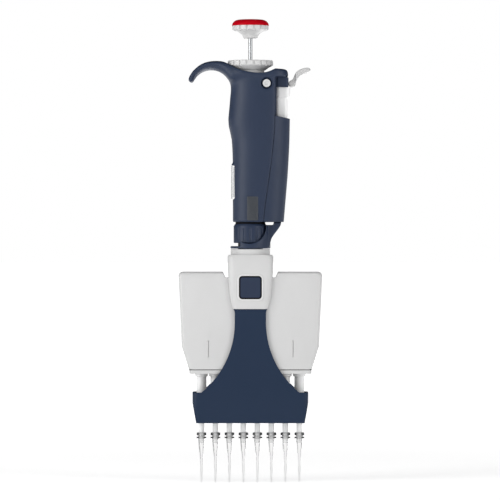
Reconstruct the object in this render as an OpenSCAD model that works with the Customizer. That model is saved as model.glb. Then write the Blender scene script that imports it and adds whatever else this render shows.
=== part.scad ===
// Eight-channel air-displacement pipette, upright on its tip orifices.
// +Z runs up the barrel axis, X runs along the row of tips, -Y faces the viewer.

/* [Tips and nozzles] */
// Number of channels in the row
channels = 8; // [8, 12]
// Distance between neighbouring channels
pitch = 9; // [8.6:0.1:10]
// Length of a tip from rim to orifice
tip_length = 32; // [29:0.5:40]
// Radius of the two ribs round a tip's rim
tip_rim_r = 3.2; // [3:0.1:3.8]
// Length of nozzle held inside a tip
tip_grip = 6.8; // [5:0.1:7.4]
// Nozzle radius where the tip's rim sits
cone_r = 1.86; // [1.8:0.02:2]
// Nozzle radius between the head and the comb
nozzle_r = 3.2; // [3.1:0.05:3.4]
// Gap between neighbouring flanges under the head
flange_gap = 0.8; // [0.4:0.1:1.2]
// Radius of a piston
piston_r = 0.55; // [0.4:0.05:0.7]

/* [Strokes] */
// Travel of the push button
plunger_stroke = 14; // [11:0.5:16]
// Blow-out part of the push button's travel
purge_stroke = 3.5; // [2:0.25:4]
// Travel of the tip ejector
eject_stroke = 10; // [8:0.5:11]
// Part of the ejector's travel that moves the tips
tip_push = 3.7; // [2.5:0.1:4.5]
// Travel of the volume lock bolt
lock_stroke = 3; // [2.4:0.1:3.6]
// Travel of the release button
release_stroke = 1.5; // [1:0.1:1.6]

/* [Head] */
// Height of the head's housing above its bottom plate
housing_h = 62.7; // [58:0.5:70]
// Half depth of the housing
housing_d = 10.5; // [10:0.1:11]
// Reach of the housing's top past the outer channels
housing_top_reach = 14.6; // [12:0.2:18]
// Reach of the housing's widest side bend past the outer channels
housing_bend_reach = 12.6; // [10:0.2:14]
// Reach of the housing's bottom past the outer channels
housing_foot_reach = 8; // [6:0.2:10]
// Height of the side bend above the bottom plate
bend_h = 14.8; // [10:0.5:20]
// Edge rounding of the housing
housing_edge = 2.6; // [1.5:0.1:3.2]
// Wall of the moulded head parts
head_wall = 1.6; // [1.2:0.1:2]
// Thickness of the nozzle plate
plate_t = 2.8; // [2.4:0.1:3.6]
// Depth of the notch in which the collar sits
notch_h = 3.8; // [3:0.1:5]
// Radius of the swivel stem
stem_r = 8; // [7.6:0.1:8.2]

/* [Tip ejector] */
// Height of the comb's bar
bar_h = 19.7; // [17:0.1:22]
// Reach of the bar past the outer channels
bar_reach = 5.7; // [5:0.1:7]
// Draft of the bar's ends and faces towards the tips
bar_draft = 2.4; // [1.5:0.1:2.8]
// Nozzle length showing between bar and head
nozzle_show = 12; // [10.5:0.1:14]
// Half width of the comb's neck
neck_half = 10; // [9.6:0.1:10.4]
// Radius of the comb's flare
flare_r = 57.9; // [52:0.1:62]
// Thickness of the comb's plates
comb_t = 1.5; // [1.2:0.1:1.6]
// Half width of the collar
collar_half = 14.6; // [14:0.1:15]
// Lip of the release button behind the collar's wall
release_lip = 0.8; // [0.7:0.05:1]
// Height of the collar
collar_h = 34.75; // [34.5:0.25:36.5]
// Width of the release button
release_w = 14.3; // [12:0.1:15]
// Height of the release button
release_h = 14.5; // [13:0.1:16]
// Radius of the round ring on the collar
ring_r = 12.6; // [12.2:0.1:13]

/* [Handle] */
// Length of the handle from its foot to the lowest point of its deck
handle_h = 95.6; // [93:0.2:98]
// Radius of the finger hook's hollow
hook_r = 12.6; // [12:0.1:13]
// Thickness of the finger hook at its crown
hook_t = 6; // [5:0.1:7]
// Half width of the finger hook at its crown
hook_w = 7; // [6:0.1:8]
// Wall of the handle's shells
shell_wall = 1.8; // [1.5:0.1:2.1]
// Wall of the coupling nut
nut_wall = 1.6; // [1.4:0.05:1.8]
// Height of the coupling nut
nut_h = 12.2; // [11.6:0.1:12.8]
// Radius of the lock bolt
bolt_r = 2.5; // [2.2:0.05:2.7]

/* [Push button and thumbwheel] */
// Radius of the push button
button_r = 11.85; // [11:0.05:13]
// Height of the push button's red cap
cap_h = 4.2; // [3.6:0.1:4.8]
// Height of the push button's ribbed band
band_h = 3.1; // [2.8:0.1:3.8]
// Radius of the push rod
rod_r = 1.25; // [1.1:0.05:1.35]
// Radius of the thumbwheel
wheel_r = 14.6; // [14:0.05:14.6]
// Height of the thumbwheel's ribbed rim
wheel_rim_h = 3.1; // [2.8:0.1:3.8]
// Radius of the counter's drums
drum_r = 7; // [6.6:0.05:7.1]
// Height of one counter drum
drum_h = 6.2; // [5.8:0.05:6.3]

/* [Fits] */
// Radial gap of a running shaft
run_gap = 0.08; // [0.05:0.01:0.1]
// Gap between pieces that slide past each other
slide_gap = 0.3; // [0.25:0.01:0.35]
// Gap between pieces that are fixed together
seat_gap = 0.04; // [0.02:0.01:0.06]

/* [Hidden] */
$fn = 48;
cut = 1;

// Levels from the tips up to the top of the red cap.
eject_gap = eject_stroke - tip_push + 0.1;
bar_z = tip_length + eject_gap;
bar_top = bar_z + bar_h;
plate_z = bar_top + nozzle_show;
housing_z = plate_z + plate_t;
housing_top = housing_z + housing_h;
core_top = housing_top - notch_h;
ring_under = core_top + eject_stroke + 0.5;
collar_top = ring_under + 4.1;
collar_z = collar_top - collar_h;
ring_top = collar_top + 3.7;
arm_ring_z = ring_top + slide_gap;
arm_ring_top = arm_ring_z + 1.6;
nut_z = arm_ring_top + 2;
nut_top = nut_z + nut_h;
handle_z = nut_top + 1.3;
deck_z = handle_z + handle_h;
wheel_z = deck_z + 5.2;
wheel_top = wheel_z + wheel_rim_h;
button_z = wheel_top + plunger_stroke + slide_gap;
band_z = button_z + 5;
cap_z = band_z + band_h;
top_z = cap_z + cap_h;

// Row of channels.
row_half = (channels - 1) / 2 * pitch;
bar_half = row_half + bar_reach;
channel_x = [for (i = [0 : channels - 1]) i * pitch - row_half];

// Depths of the comb, the collar and the housing's waist.
comb_in = housing_d + slide_gap;
comb_d = comb_in + comb_t;
waist_d = stem_r;
tongue_half = neck_half - 0.6;
waist_half = tongue_half + slide_gap;
tongue_top = core_top + 2.1;
tongue_in = waist_d + 0.4;
tongue_d = tongue_in + 1.6;
collar_wall = 1.6;
saddle_d = max(comb_in, tongue_d + 0.2);
lip_d = tongue_d + 0.2 + release_stroke + release_lip;
collar_d = lip_d + 0.1 + collar_wall;
waist_z = collar_z - eject_stroke - 4;

// Swivel joint.
stem_flange_r = stem_r + 1;
stem_neck_r = stem_r - 2.2;
swivel_z = nut_z + 3.8;
stem_flange_z = swivel_z + 0.2;
stem_top = stem_flange_z + 2.4;
spigot_z = stem_top + 0.3;
spigot_r = stem_flange_r + 0.2;
spigot_roof = nut_top + 0.3;
nut_r = spigot_r + nut_wall;
plug_r = 6.5;
plug_top = handle_z + 10.5;

// Pistons and their drive.
nozzle_end = tip_length - tip_grip;
nozzle_step = bar_z + 11.5;
nozzle_flange_r = (pitch - flange_gap) / 2;
barrel_top = housing_z + 13;
bore_r = piston_r + run_gap;
crossbar_z = core_top - 14;
crossbar_h = 6;
barrel_r = nozzle_r - 0.2;
post_r = 1.2;
post_x = row_half + barrel_r + post_r + 0.4;
stem_bore = stem_r - 2;
stem_floor = core_top + 1.7;
washer_z = ring_under - 1.3;
washer_top = washer_z + 1.5;
drive_r = 2.5;
drive_flange_z = washer_top + plunger_stroke + 1.5;
drive_top = drive_flange_z + 2.6;
skirt_z = washer_top + plunger_stroke - purge_stroke + 0.1;
foot_z = drive_top + slide_gap;
foot_top = spigot_roof - 0.2;

// Volume screw, counter and lock.
screw_r = 3.5;
screw_z = plug_top + 2.5;
drum_z = screw_z + 3;
drum_step = drum_h + 0.3;
drums_top = drum_z + 3 * drum_step;
sleeve_z = drums_top + 2.5;
sleeve_r = 9;
sleeve_top = deck_z - 12.7;
bolt_z = deck_z - 6.7;
bolt_x = 10.4;
lock_flat = bolt_x - bolt_r - 0.1;
lock_corner_r = lock_flat / cos(15);
neck_z = bolt_z + bolt_r + 1.3;
wheel_neck_r = 8.9;
nut_mid = (sleeve_z + sleeve_top) / 2;

// Ejector slide behind the handle.
cover_h = handle_h - 27.4;
cover_wall = 1;
seam_gap = 0.06;
tube_x = 20.1;
tube_w = 7.8;
tube_d = 8.8;
// The slide tube's foot draws in as the rear cover does below it.
tube_taper = 0.7;
tube_z = handle_z + cover_h - 9.2;
head_block_z = deck_z - 9;
head_block_top = deck_z - 2.7;
head_block_x = 24.5;
head_block_w = 8;
head_block_d = 15;
rod_x = 18.7;
ejector_rod_r = 1.1;
arm_top = handle_z + 13.5;
ledge_z = handle_z + 26;
ledge_top = ledge_z + 2.5;
spring_wire = 0.4;

// Stations of the handle: share of its length, left reach, seam, back reach, half depth.
handle_shape = [
    [0, 11.3, 8.5, 21.5, 11.6],
    [0.1, 11.3, 9.5, 22.3, 11.9],
    [0.2, 11.4, 10.8, 23.1, 12.3],
    [0.3, 11.4, 12.2, 23.9, 12.8],
    [0.4, 11.4, 13.5, 24.5, 13.2],
    [0.5, 11.7, 14.6, 25, 13.6],
    [0.57, 12.3, 15.2, 25.2, 13.8],
    [0.63, 13.7, 15.6, 25.3, 13.95],
    [0.68, 14.3, 15.8, 25.4, 14],
    [0.8, 13.3, 15.8, 25.4, 14],
    [0.9, 12.8, 15.8, 25.4, 13.9],
    [1, 12.8, 15.8, 25.4, 13.8],
    [1.04, 12.8, 15.8, 25.4, 13.8]
];
handle_rows = [for (r = handle_shape) [r[0] * handle_h, r[1], r[2], r[3], r[4]]];
hook_x = -25.1;
hook_z = deck_z - 10.4;
window_z = drum_z - 1;
window_top = drums_top + 0.8;
window_half = 4.6;
window_r = 12.3;

// Curves and lofts

// Row that starts the stretch of stations holding a height.
function stretch(rows, h, i = 0) =
    (i >= len(rows) - 2 || h <= rows[i + 1][0]) ? i : stretch(rows, h, i + 1);

// Slope of one column of the stations at a row.
function slope_at(rows, c, i) =
    let (a = max(i - 1, 0), b = min(i + 1, len(rows) - 1))
    (rows[b][c] - rows[a][c]) / (rows[b][0] - rows[a][0]);

// Smooth value of one column of the stations at a height.
function station(rows, c, h) =
    let (
        i = stretch(rows, h),
        span = rows[i + 1][0] - rows[i][0],
        t = (h - rows[i][0]) / span,
        m0 = slope_at(rows, c, i) * span,
        m1 = slope_at(rows, c, i + 1) * span
    )
    (2 * pow(t, 3) - 3 * pow(t, 2) + 1) * rows[i][c]
    + (pow(t, 3) - 2 * pow(t, 2) + t) * m0
    + (3 * pow(t, 2) - 2 * pow(t, 3)) * rows[i + 1][c]
    + (pow(t, 3) - pow(t, 2)) * m1;

// Power of a cosine or sine that keeps its sign.
function soft(v, n) = sign(v) * pow(abs(v), 2 / n);

// Angle at which a soft oval reaches a share of its half width.
function reach_angle(share, n) = acos(-sign(share) * pow(abs(share), n / 2));

// Front half of a soft oval between two angles counted from its left end.
function oval(left, right, depth, n, from, to, count) =
    let (mid = (left + right) / 2, half = (right - left) / 2)
    [for (k = [0 : count])
        let (a = from + (to - from) * k / count)
        [mid - half * soft(cos(a), n), -depth * soft(sin(a), n)]];

// Solid through closed sections that share one count of points.
module loft(sections) {
    n = len(sections[0]);
    m = len(sections);
    polyhedron(
        points = [for (s = sections) each s],
        faces = concat(
            [[for (i = [0 : n - 1]) i]],
            [[for (i = [n - 1 : -1 : 0]) (m - 1) * n + i]],
            [for (k = [0 : m - 2]) for (i = [0 : n - 1])
                let (a = k * n + i, b = k * n + (i + 1) % n)
                each [[a, a + n, b + n], [a, b + n, b]]]
        )
    );
}

// Coil spring that stands on z = 0.
module coil(mean_r, wire, turns, length, steps = 14, sides = 6) {
    count = turns * steps;
    rise = length - 2 * wire;
    loft([
        for (k = [0 : count])
            let (a = 360 * k / steps)
            [for (s = [sides - 1 : -1 : 0])
                let (b = 360 * s / sides, r = mean_r + wire * cos(b))
                [r * cos(a), r * sin(a), wire + rise * k / count + wire * sin(b)]]
    ]);
}

// Outline drawn in X and Z, pushed towards the viewer from a given depth.
module towards_viewer(depth, from = 0) {
    translate([0, -from, 0])
        rotate([90, 0, 0])
            linear_extrude(depth)
                children();
}

// Rounded rectangle centred on the origin.
module soft_square(w, h, r) {
    hull() {
        for (x = [-1, 1], y = [-1, 1]) {
            translate([x * (w / 2 - r), y * (h / 2 - r)])
                circle(r);
        }
    }
}

// Rounded rectangle from exact arcs, for bores and plates.
module round_plate(w, d, r, h) {
    linear_extrude(h) {
        square([w - 2 * r, d], center = true);
        square([w, d - 2 * r], center = true);
        for (x = [-1, 1], y = [-1, 1]) {
            translate([x * (w / 2 - r), y * (d / 2 - r)])
                circle(r);
        }
    }
}

// Handle

// Front half of the handle's section at a height, inset by a wall.
function handle_section(h, inset, count) =
    let (
        left = -station(handle_rows, 1, h) + inset,
        seam = station(handle_rows, 2, h) - inset,
        right = station(handle_rows, 3, h) - inset,
        depth = station(handle_rows, 4, h) - inset,
        mid = (left + right) / 2,
        stop = reach_angle((seam - mid) / ((right - left) / 2), 2.3)
    )
    concat(
        [for (p = oval(left, right, depth, 2.3, 0, stop, count)) [p[0], p[1], handle_z + h]],
        [[seam, 0, handle_z + h]]
    );

// Front half of the section of the cap at a rise over the deck's lowest point.
function cap_section(rise, back, inset) =
    [for (p = oval(-14.4 - rise * 0.3 + inset, back, 14.1 - inset, 3.4, 0, 180, 22))
        [p[0], p[1], deck_z + rise]];

// Front half of the hook's section at an angle round its hollow.
function hook_section(a, thick, width) =
    [for (k = [0 : 12])
        let (
            b = 180 * k / 12,
            r = hook_r + thick / 2 - 0.8 - (thick / 2 + 0.8) * soft(cos(b), 3),
            y = -width * soft(sin(b), 3)
        )
        [hook_x + r * cos(a), y, hook_z + r * sin(a)]];

// Stations of the hook: angle, thickness, half width.
hook_rows = [
    [24, hook_t + 4, hook_w + 5],
    [36, hook_t + 4.2, hook_w + 4.6],
    [48, hook_t + 3.4, hook_w + 3.6],
    [60, hook_t + 2, hook_w + 2.4],
    [75, hook_t + 0.7, hook_w + 0.9],
    [90, hook_t, hook_w],
    [105, hook_t - 0.4, hook_w - 0.6],
    [120, hook_t - 1, hook_w - 1],
    [135, hook_t - 1.6, hook_w - 1.3],
    [148, hook_t - 2, hook_w - 1.6],
    [155, hook_t - 2.3, hook_w - 1.9],
    [159, hook_t - 2.8, hook_w - 2.8],
    [161, hook_t - 4.2, hook_w - 4.6]
];

// Dished top of the handle, cut from above.
module deck_cut() {
    low_x = 6;
    for (side = [[-1, 32.5], [1, 18.2]]) {
        intersection() {
            translate([low_x, 0, deck_z + side[1]])
                rotate([90, 0, 0])
                    cylinder(r = side[1], h = 60, center = true);
            translate([low_x + (side[0] < 0 ? -30 : 0), -30, deck_z - cut])
                cube([30, 60, 40]);
        }
    }
}

// Well in the deck for the thumbwheel, with the bores under it.
module wheel_well() {
    gap = 0.6;
    rotate_extrude()
        polygon([
            [0, wheel_z - 3.2 - gap], [10.4 + gap, wheel_z - 3.2 - gap],
            [12.6 + gap, wheel_z - 1.4 - gap], [wheel_r + gap, wheel_z - gap],
            [wheel_r + gap, wheel_top + 10], [0, wheel_top + 10]
        ]);
    translate([0, 0, neck_z - 0.2])
        cylinder(r = wheel_neck_r + run_gap, h = 12);
    translate([0, 0, sleeve_top])
        cylinder(r = lock_corner_r + 0.4, h = neck_z - sleeve_top);
}

// One half of the handle's casing, in front of the split plane.
module handle_half() {
    heights = [for (k = [0 : 22]) k * (handle_h + 1.4) / 22];
    foot_h = 15;
    inner = [for (k = [0 : 14]) foot_h + k * (sleeve_top + 0.1 - handle_z - foot_h) / 14];
    difference() {
        union() {
            loft([for (h = heights) handle_section(h, 0, 16)]);
            loft([
                cap_section(-2.2, 24.3, 0), cap_section(-0.6, 24.3, 0),
                cap_section(1.2, 24, 0), cap_section(2.1, 23.3, 0.3),
                cap_section(2.6, 22, 0.9), cap_section(3, 17, 1.4),
                cap_section(7, 6, 2.2)
            ]);
            loft([for (row = hook_rows) hook_section(row[0], row[1], row[2])]);
            translate([8, -4, ledge_z])
                cube([12.9, 4, ledge_top - ledge_z]);
            window_brow();
            translate([8, -9.6, handle_z + cover_h + 0.6])
                cube([8.2, 1.6, deck_z - 3 - handle_z - cover_h]);
        }
        difference() {
            loft([
                for (h = inner)
                    concat(
                        handle_section(h, shell_wall, 14),
                        [
                            [station(handle_rows, 2, h) - shell_wall, cut, handle_z + h],
                            [-station(handle_rows, 1, h) + shell_wall, cut, handle_z + h]
                        ]
                    )
            ]);
            for (z = [drums_top + 0.5, nut_mid + 4]) {
                translate([-30, -30, z])
                    cube([60, 60, 2]);
            }
        }
        deck_cut();
        wheel_well();
        translate([hook_x, 0, hook_z])
            rotate([90, 0, 0])
                cylinder(r = hook_r, h = 60, center = true);
        translate([0, 0, handle_z - cut])
            cylinder(r = plug_r + seat_gap, h = plug_top - handle_z + cut);
        translate([0, 0, plug_top - cut])
            cylinder(r = screw_r + run_gap, h = sleeve_z - plug_top + 2 * cut);
        translate([0, 0, sleeve_z])
            cylinder(r = sleeve_r + seat_gap, h = sleeve_top - sleeve_z + 0.1);
        bolt_bore();
        translate([rod_x, 0, ledge_z - cut])
            cylinder(r = ejector_rod_r + 0.15, h = 5);
        window_opening(0.1);
    }
}

// Bore of the lock bolt with a shallow seat at each end.
module bolt_bore() {
    translate([bolt_x, 0, bolt_z])
        rotate([90, 0, 0]) {
            cylinder(r = bolt_r + run_gap, h = 60, center = true);
            translate([0, 0, 11.6])
                cylinder(r = bolt_r + 1.2, h = 10);
            translate([0, 0, -21.6])
                cylinder(r = bolt_r + 1.2, h = 10);
        }
}

// Small brow over the counter's window.
module window_brow() {
    translate([-window_r, -window_half, window_top + 0.1])
        cube([3.3, window_half, 0.9]);
}

// Opening in the handle's left wall for the counter's window.
module window_opening(gap) {
    translate([-20, -window_half - gap, window_z - gap])
        cube([14, 2 * (window_half + gap), window_top - window_z + 2 * gap]);
}

module handle_shell_front() {
    color([0.17, 0.2, 0.27])
        difference() {
            handle_half();
            towards_viewer(10, 11.9)
                translate([1.4, handle_z + 8.6])
                    soft_square(7.6, 16, 0.8);
        }
}

module handle_shell_back() {
    color([0.17, 0.2, 0.27])
        mirror([0, 1, 0])
            handle_half();
}

// One edge-to-edge path of the rear cover at a height.
function cover_path(h, inset_back, inset_side, gap, drop) =
    let (
        left = -station(handle_rows, 1, h),
        seam = station(handle_rows, 2, h) + gap,
        right = station(handle_rows, 3, h) - inset_back,
        depth = station(handle_rows, 4, h) - inset_side,
        mid = (left + right) / 2,
        start = reach_angle((seam - mid) / ((right - left) / 2), 2.3),
        half = oval(left, right, depth, 2.3, start, 180, 9)
    )
    concat(
        [for (p = half) [p[0], p[1], handle_z + h - drop * (p[0] - seam)]],
        [for (k = [8 : -1 : 0]) [half[k][0], -half[k][1], handle_z + h - drop * (half[k][0] - seam)]]
    );

module rear_cover() {
    heights = [for (k = [0 : 12]) k * cover_h / 12];
    sections = [
        for (k = [0 : 12])
            let (
                drop = (k == 12) ? 0.2 : 0,
                out = cover_path(heights[k], 0, 0, seam_gap, drop),
                inn = cover_path(heights[k], cover_wall, 1.6, seam_gap, drop)
            )
            concat(out, [for (i = [len(inn) - 1 : -1 : 0]) inn[i]])
    ];
    n = len(sections[0]);
    m = len(sections);
    half = n / 2;
    color([0.17, 0.2, 0.27])
        polyhedron(
            points = [for (s = sections) each s],
            faces = concat(
                [for (i = [0 : half - 2])
                    each [[i, i + 1, n - 2 - i], [i, n - 2 - i, n - 1 - i]]],
                [for (i = [0 : half - 2])
                    let (t = (m - 1) * n)
                    each [[t + n - 2 - i, t + i + 1, t + i], [t + n - 1 - i, t + n - 2 - i, t + i]]],
                [for (k = [0 : m - 2]) for (i = [0 : n - 1])
                    let (a = k * n + i, b = k * n + (i + 1) % n)
                    each [[a, a + n, b + n], [a, b + n, b]]]
            )
        );
}

// Clear lens over the counter, hollow towards the drums.
module counter_window() {
    color([0.85, 0.9, 0.92, 0.4])
        difference() {
            intersection() {
                translate([0, 0, window_z])
                    cylinder(r = window_r, h = window_top - window_z);
                window_opening(0);
                translate([-20, -20, window_z])
                    cube([12.2, 40, 40]);
            }
            translate([0, 0, window_z + 1])
                intersection() {
                    cylinder(r = window_r - 1.4, h = window_top - window_z - 2);
                    translate([-20, cut - window_half, -cut])
                        cube([20, 2 * (window_half - cut), 40]);
                }
        }
}

// Sleeve that keeps the volume nut from turning.
module guide_sleeve() {
    color([0.2, 0.2, 0.22])
        difference() {
            translate([0, 0, sleeve_z])
                cylinder(r = sleeve_r, h = sleeve_top - sleeve_z);
            translate([0, 0, sleeve_z - cut])
                cylinder(r = 7.7, h = sleeve_top - sleeve_z + 2 * cut);
            translate([-1.6, -12, sleeve_z + 3])
                cube([3.2, 24, sleeve_top - sleeve_z - 6]);
        }
}

// Plug in the handle's foot that carries the coupling nut.
module nose_spigot() {
    color([0.2, 0.2, 0.22])
        difference() {
            union() {
                translate([0, 0, spigot_z])
                    cylinder(r = spigot_r, h = handle_z - 0.2 - spigot_z);
                translate([0, 0, handle_z - cut])
                    cylinder(r = plug_r, h = plug_top - handle_z + cut);
            }
            translate([0, 0, spigot_z - cut])
                cylinder(r = 7, h = spigot_roof - spigot_z + cut);
            translate([0, 0, spigot_z])
                cylinder(r = rod_r + run_gap, h = 40);
        }
}

// Fluted nut that holds the head's stem and lets it turn.
module coupling_nut() {
    flutes = 16;
    color([0.17, 0.2, 0.27])
        difference() {
            rotate_extrude()
                polygon([
                    [stem_r + 0.15, nut_z], [nut_r - 0.4, nut_z], [nut_r, nut_z + 0.4],
                    [nut_r, nut_top - 1.4], [nut_r - 0.9, nut_top],
                    [spigot_r + seat_gap, nut_top], [spigot_r + seat_gap, swivel_z],
                    [stem_r + 0.15, swivel_z]
                ]);
            for (k = [0 : flutes - 1]) {
                rotate([0, 0, k * 360 / flutes])
                    translate([nut_r + 0.9, 0, nut_z + 1.6])
                        cylinder(r = 1.25, h = nut_h - 4.2);
            }
        }
}

// Push button and its rod

module button_cap() {
    color([0.75, 0.02, 0.08])
        rotate_extrude()
            polygon(concat(
                [[0, cap_z], [button_r, cap_z], [button_r, cap_z + 0.5]],
                [for (k = [1 : 6])
                    let (a = 15 * k)
                    [button_r - 3.6 * (1 - cos(a)) - 0.14 * k, cap_z + 0.5 + (cap_h - 0.8) * sin(a)]],
                [[0, top_z]]
            ));
}

module push_button() {
    ribs = 16;
    color([0.86, 0.86, 0.86])
        difference() {
            rotate_extrude()
                polygon([
                    [rod_r + seat_gap, button_z], [4.1, button_z], [4.6, button_z + 0.5],
                    [4.9, button_z + 1.3], [5.5, button_z + 2.2], [6.5, button_z + 3.1],
                    [7.6, button_z + 4], [8.3, button_z + 4.6], [button_r - 1.4, button_z + 4.8],
                    [button_r - 0.2, band_z + 0.5], [button_r - 0.2, cap_z], [0, cap_z],
                    [0, band_z + 0.5], [rod_r + seat_gap, band_z + 0.5]
                ]);
            for (k = [0 : ribs - 1]) {
                rotate([0, 0, (k + 0.5) * 360 / ribs])
                    translate([button_r - 0.1, 0, band_z - cut])
                        cylinder(r = 0.75, h = band_h + 2 * cut);
            }
        }
}

module push_rod() {
    color([0.75, 0.76, 0.78])
        translate([0, 0, foot_z + 1.2])
            cylinder(r = rod_r, h = band_z + 0.5 - foot_z - 1.2);
}

// Foot on the rod that presses the pistons' drive.
module rod_foot() {
    color([0.2, 0.2, 0.22])
        difference() {
            translate([0, 0, foot_z])
                cylinder(r = 4.5, h = foot_top - foot_z);
            translate([0, 0, foot_z + 1.2])
                cylinder(r = rod_r + seat_gap, h = 20);
        }
}

// Volume setting

module thumbwheel() {
    ribs = 20;
    color([0.86, 0.86, 0.86])
        difference() {
            union() {
                rotate_extrude()
                    polygon([
                        [screw_r + seat_gap, sleeve_top + 0.3], [6, sleeve_top + 0.3],
                        [6, neck_z], [wheel_neck_r, neck_z], [wheel_neck_r, wheel_z - 3.2],
                        [9.5, wheel_z - 3.2], [12, wheel_z - 1.4], [wheel_r, wheel_z],
                        [wheel_r, wheel_top - 0.5], [wheel_r - 0.5, wheel_top],
                        [wheel_r - 2.2, wheel_top], [wheel_r - 4.4, wheel_top - 1.6],
                        [5, wheel_top - 1.6], [4, wheel_top], [rod_r + 0.35, wheel_top],
                        [rod_r + 0.35, neck_z + 4], [screw_r + seat_gap, neck_z + 4]
                    ]);
                translate([0, 0, sleeve_top + 0.3])
                    difference() {
                        rotate([0, 0, 15])
                            cylinder(r = lock_corner_r, h = neck_z - sleeve_top - 0.3, $fn = 12);
                        translate([0, 0, -cut])
                            cylinder(r = screw_r + seat_gap, h = 30);
                    }
            }
            for (k = [0 : ribs - 1]) {
                rotate([0, 0, (k + 0.5) * 360 / ribs])
                    translate([wheel_r - 0.05, 0, wheel_z - 0.5])
                        cylinder(r = 0.85, h = wheel_rim_h + 2);
            }
        }
}

module volume_screw() {
    color([0.72, 0.62, 0.36])
        difference() {
            translate([0, 0, screw_z])
                cylinder(r = screw_r, h = neck_z + 4 - screw_z);
            translate([0, 0, screw_z - cut])
                cylinder(r = rod_r + 0.25, h = 200);
        }
}

// Keyed nut that rises and falls with the setting.
module volume_nut() {
    color([0.2, 0.2, 0.22])
        difference() {
            union() {
                translate([0, 0, nut_mid - 4])
                    cylinder(r = 7.6, h = 8);
                translate([-1.45, -8.8, nut_mid - 4])
                    cube([2.9, 17.6, 8]);
            }
            translate([0, 0, nut_mid - 10])
                cylinder(r = screw_r + run_gap, h = 20);
        }
}

// Counter drum, counted up from the lowest.
module drum(place) {
    color([0.9, 0.9, 0.88])
        difference() {
            translate([0, 0, drum_z + place * drum_step])
                cylinder(r = drum_r, h = drum_h);
            translate([0, 0, drum_z + place * drum_step - cut])
                cylinder(r = screw_r + run_gap, h = drum_h + 2 * cut);
        }
}

module drum_tenths() {
    drum(0);
}

module drum_units() {
    drum(1);
}

module drum_tens() {
    drum(2);
}

// Cross bolt whose flat frees the thumbwheel until it is pushed across.
module lock_bolt() {
    flat_half = 1.9;
    front_d = 13.1;
    back_d = 13.3 - lock_stroke;
    color([0.9, 0.9, 0.9])
        translate([bolt_x, 0, bolt_z])
            difference() {
                translate([0, back_d, 0])
                    rotate([90, 0, 0])
                        cylinder(r = bolt_r, h = front_d + back_d);
                translate([lock_corner_r + 0.35 - bolt_x - 4, -flat_half, -5])
                    cube([4, 2 * flat_half, 10]);
                for (end = [-front_d - cut, back_d - 0.35]) {
                    translate([0, end, 0])
                        rotate([-90, 0, 0])
                            cylinder(r = 0.5 * bolt_r, h = cut + 0.35);
                }
            }
}

// Tip ejector on the handle

// Thumb rest swept up from its boss, with rounded corners in plan.
module ejector_paddle() {
    top = head_block_top;
    paddle_x = head_block_x + 0.05;
    color([0.82, 0.82, 0.82])
        union() {
            intersection() {
                towards_viewer(15, -7.5)
                    polygon([
                        [paddle_x, top - 4.9], [paddle_x, top - 3], [26.3, top - 2.1],
                        [27.4, top - 0.9], [28.1, top + 0.8], [28.8, top + 2.5],
                        [30, top + 4], [31.9, top + 5.2], [34.4, top + 6],
                        [37.1, top + 6.3], [38.4, top + 5.7], [38.9, top + 4.5],
                        [36.9, top + 3.5], [34.4, top + 2.4], [32, top + 1.1],
                        [30.7, top - 0.1], [29.8, top - 1.5], [29.2, top - 3.2],
                        [28.6, top - 4.6], [26.4, top - 5.6]
                    ]);
                translate([0, 0, head_block_z - 10])
                    linear_extrude(40) {
                        translate([24, -4.8])
                            square([7, 9.6]);
                        translate([29, -6.8])
                            square([6, 13.6]);
                        translate([29, -2.8])
                            square([10.2, 5.6]);
                        for (y = [-1, 1]) {
                            translate([35.2, y * 2.8])
                                circle(4);
                        }
                    }
            }
            translate([26.9, 0, top - 4])
                rotate([90, 0, 0])
                    cylinder(r = 2.3, h = 9.6, center = true);
        }
}

module ejector_head() {
    color([0.17, 0.2, 0.27])
        translate([head_block_x - head_block_w / 2, 0, head_block_z])
            round_plate(head_block_w, head_block_d, 1.2, head_block_top - head_block_z);
}

module ejector_tube() {
    color([0.86, 0.86, 0.86])
        difference() {
            union() {
                hull() {
                    translate([tube_x, 0, tube_z])
                        round_plate(tube_w - 2 * tube_taper, tube_d - 2 * tube_taper, 2, 1);
                    translate([tube_x, 0, tube_z + eject_stroke + 2])
                        round_plate(tube_w, tube_d, 2.4, head_block_z - tube_z - eject_stroke - 2);
                }
                hull() {
                    translate([tube_x + 0.9, 0, head_block_z - 7.4])
                        round_plate(tube_w - 0.6, tube_d - 0.6, 2, 1);
                    translate([tube_x + 0.9, 0, head_block_z - 6.2])
                        round_plate(tube_w + 1.2, tube_d + 1.2, 2.6, 6.2);
                }
            }
            translate([rod_x, 0, tube_z - cut])
                cylinder(r = ejector_rod_r + seat_gap, h = 12);
        }
}

module ejector_rod() {
    color([0.75, 0.76, 0.78]) {
        translate([rod_x, 0, arm_top])
            cylinder(r = ejector_rod_r, h = tube_z + 10 - arm_top);
        translate([rod_x, 0, tube_z - 1.4])
            cylinder(r = 2.7, h = 1.4);
    }
}

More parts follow.
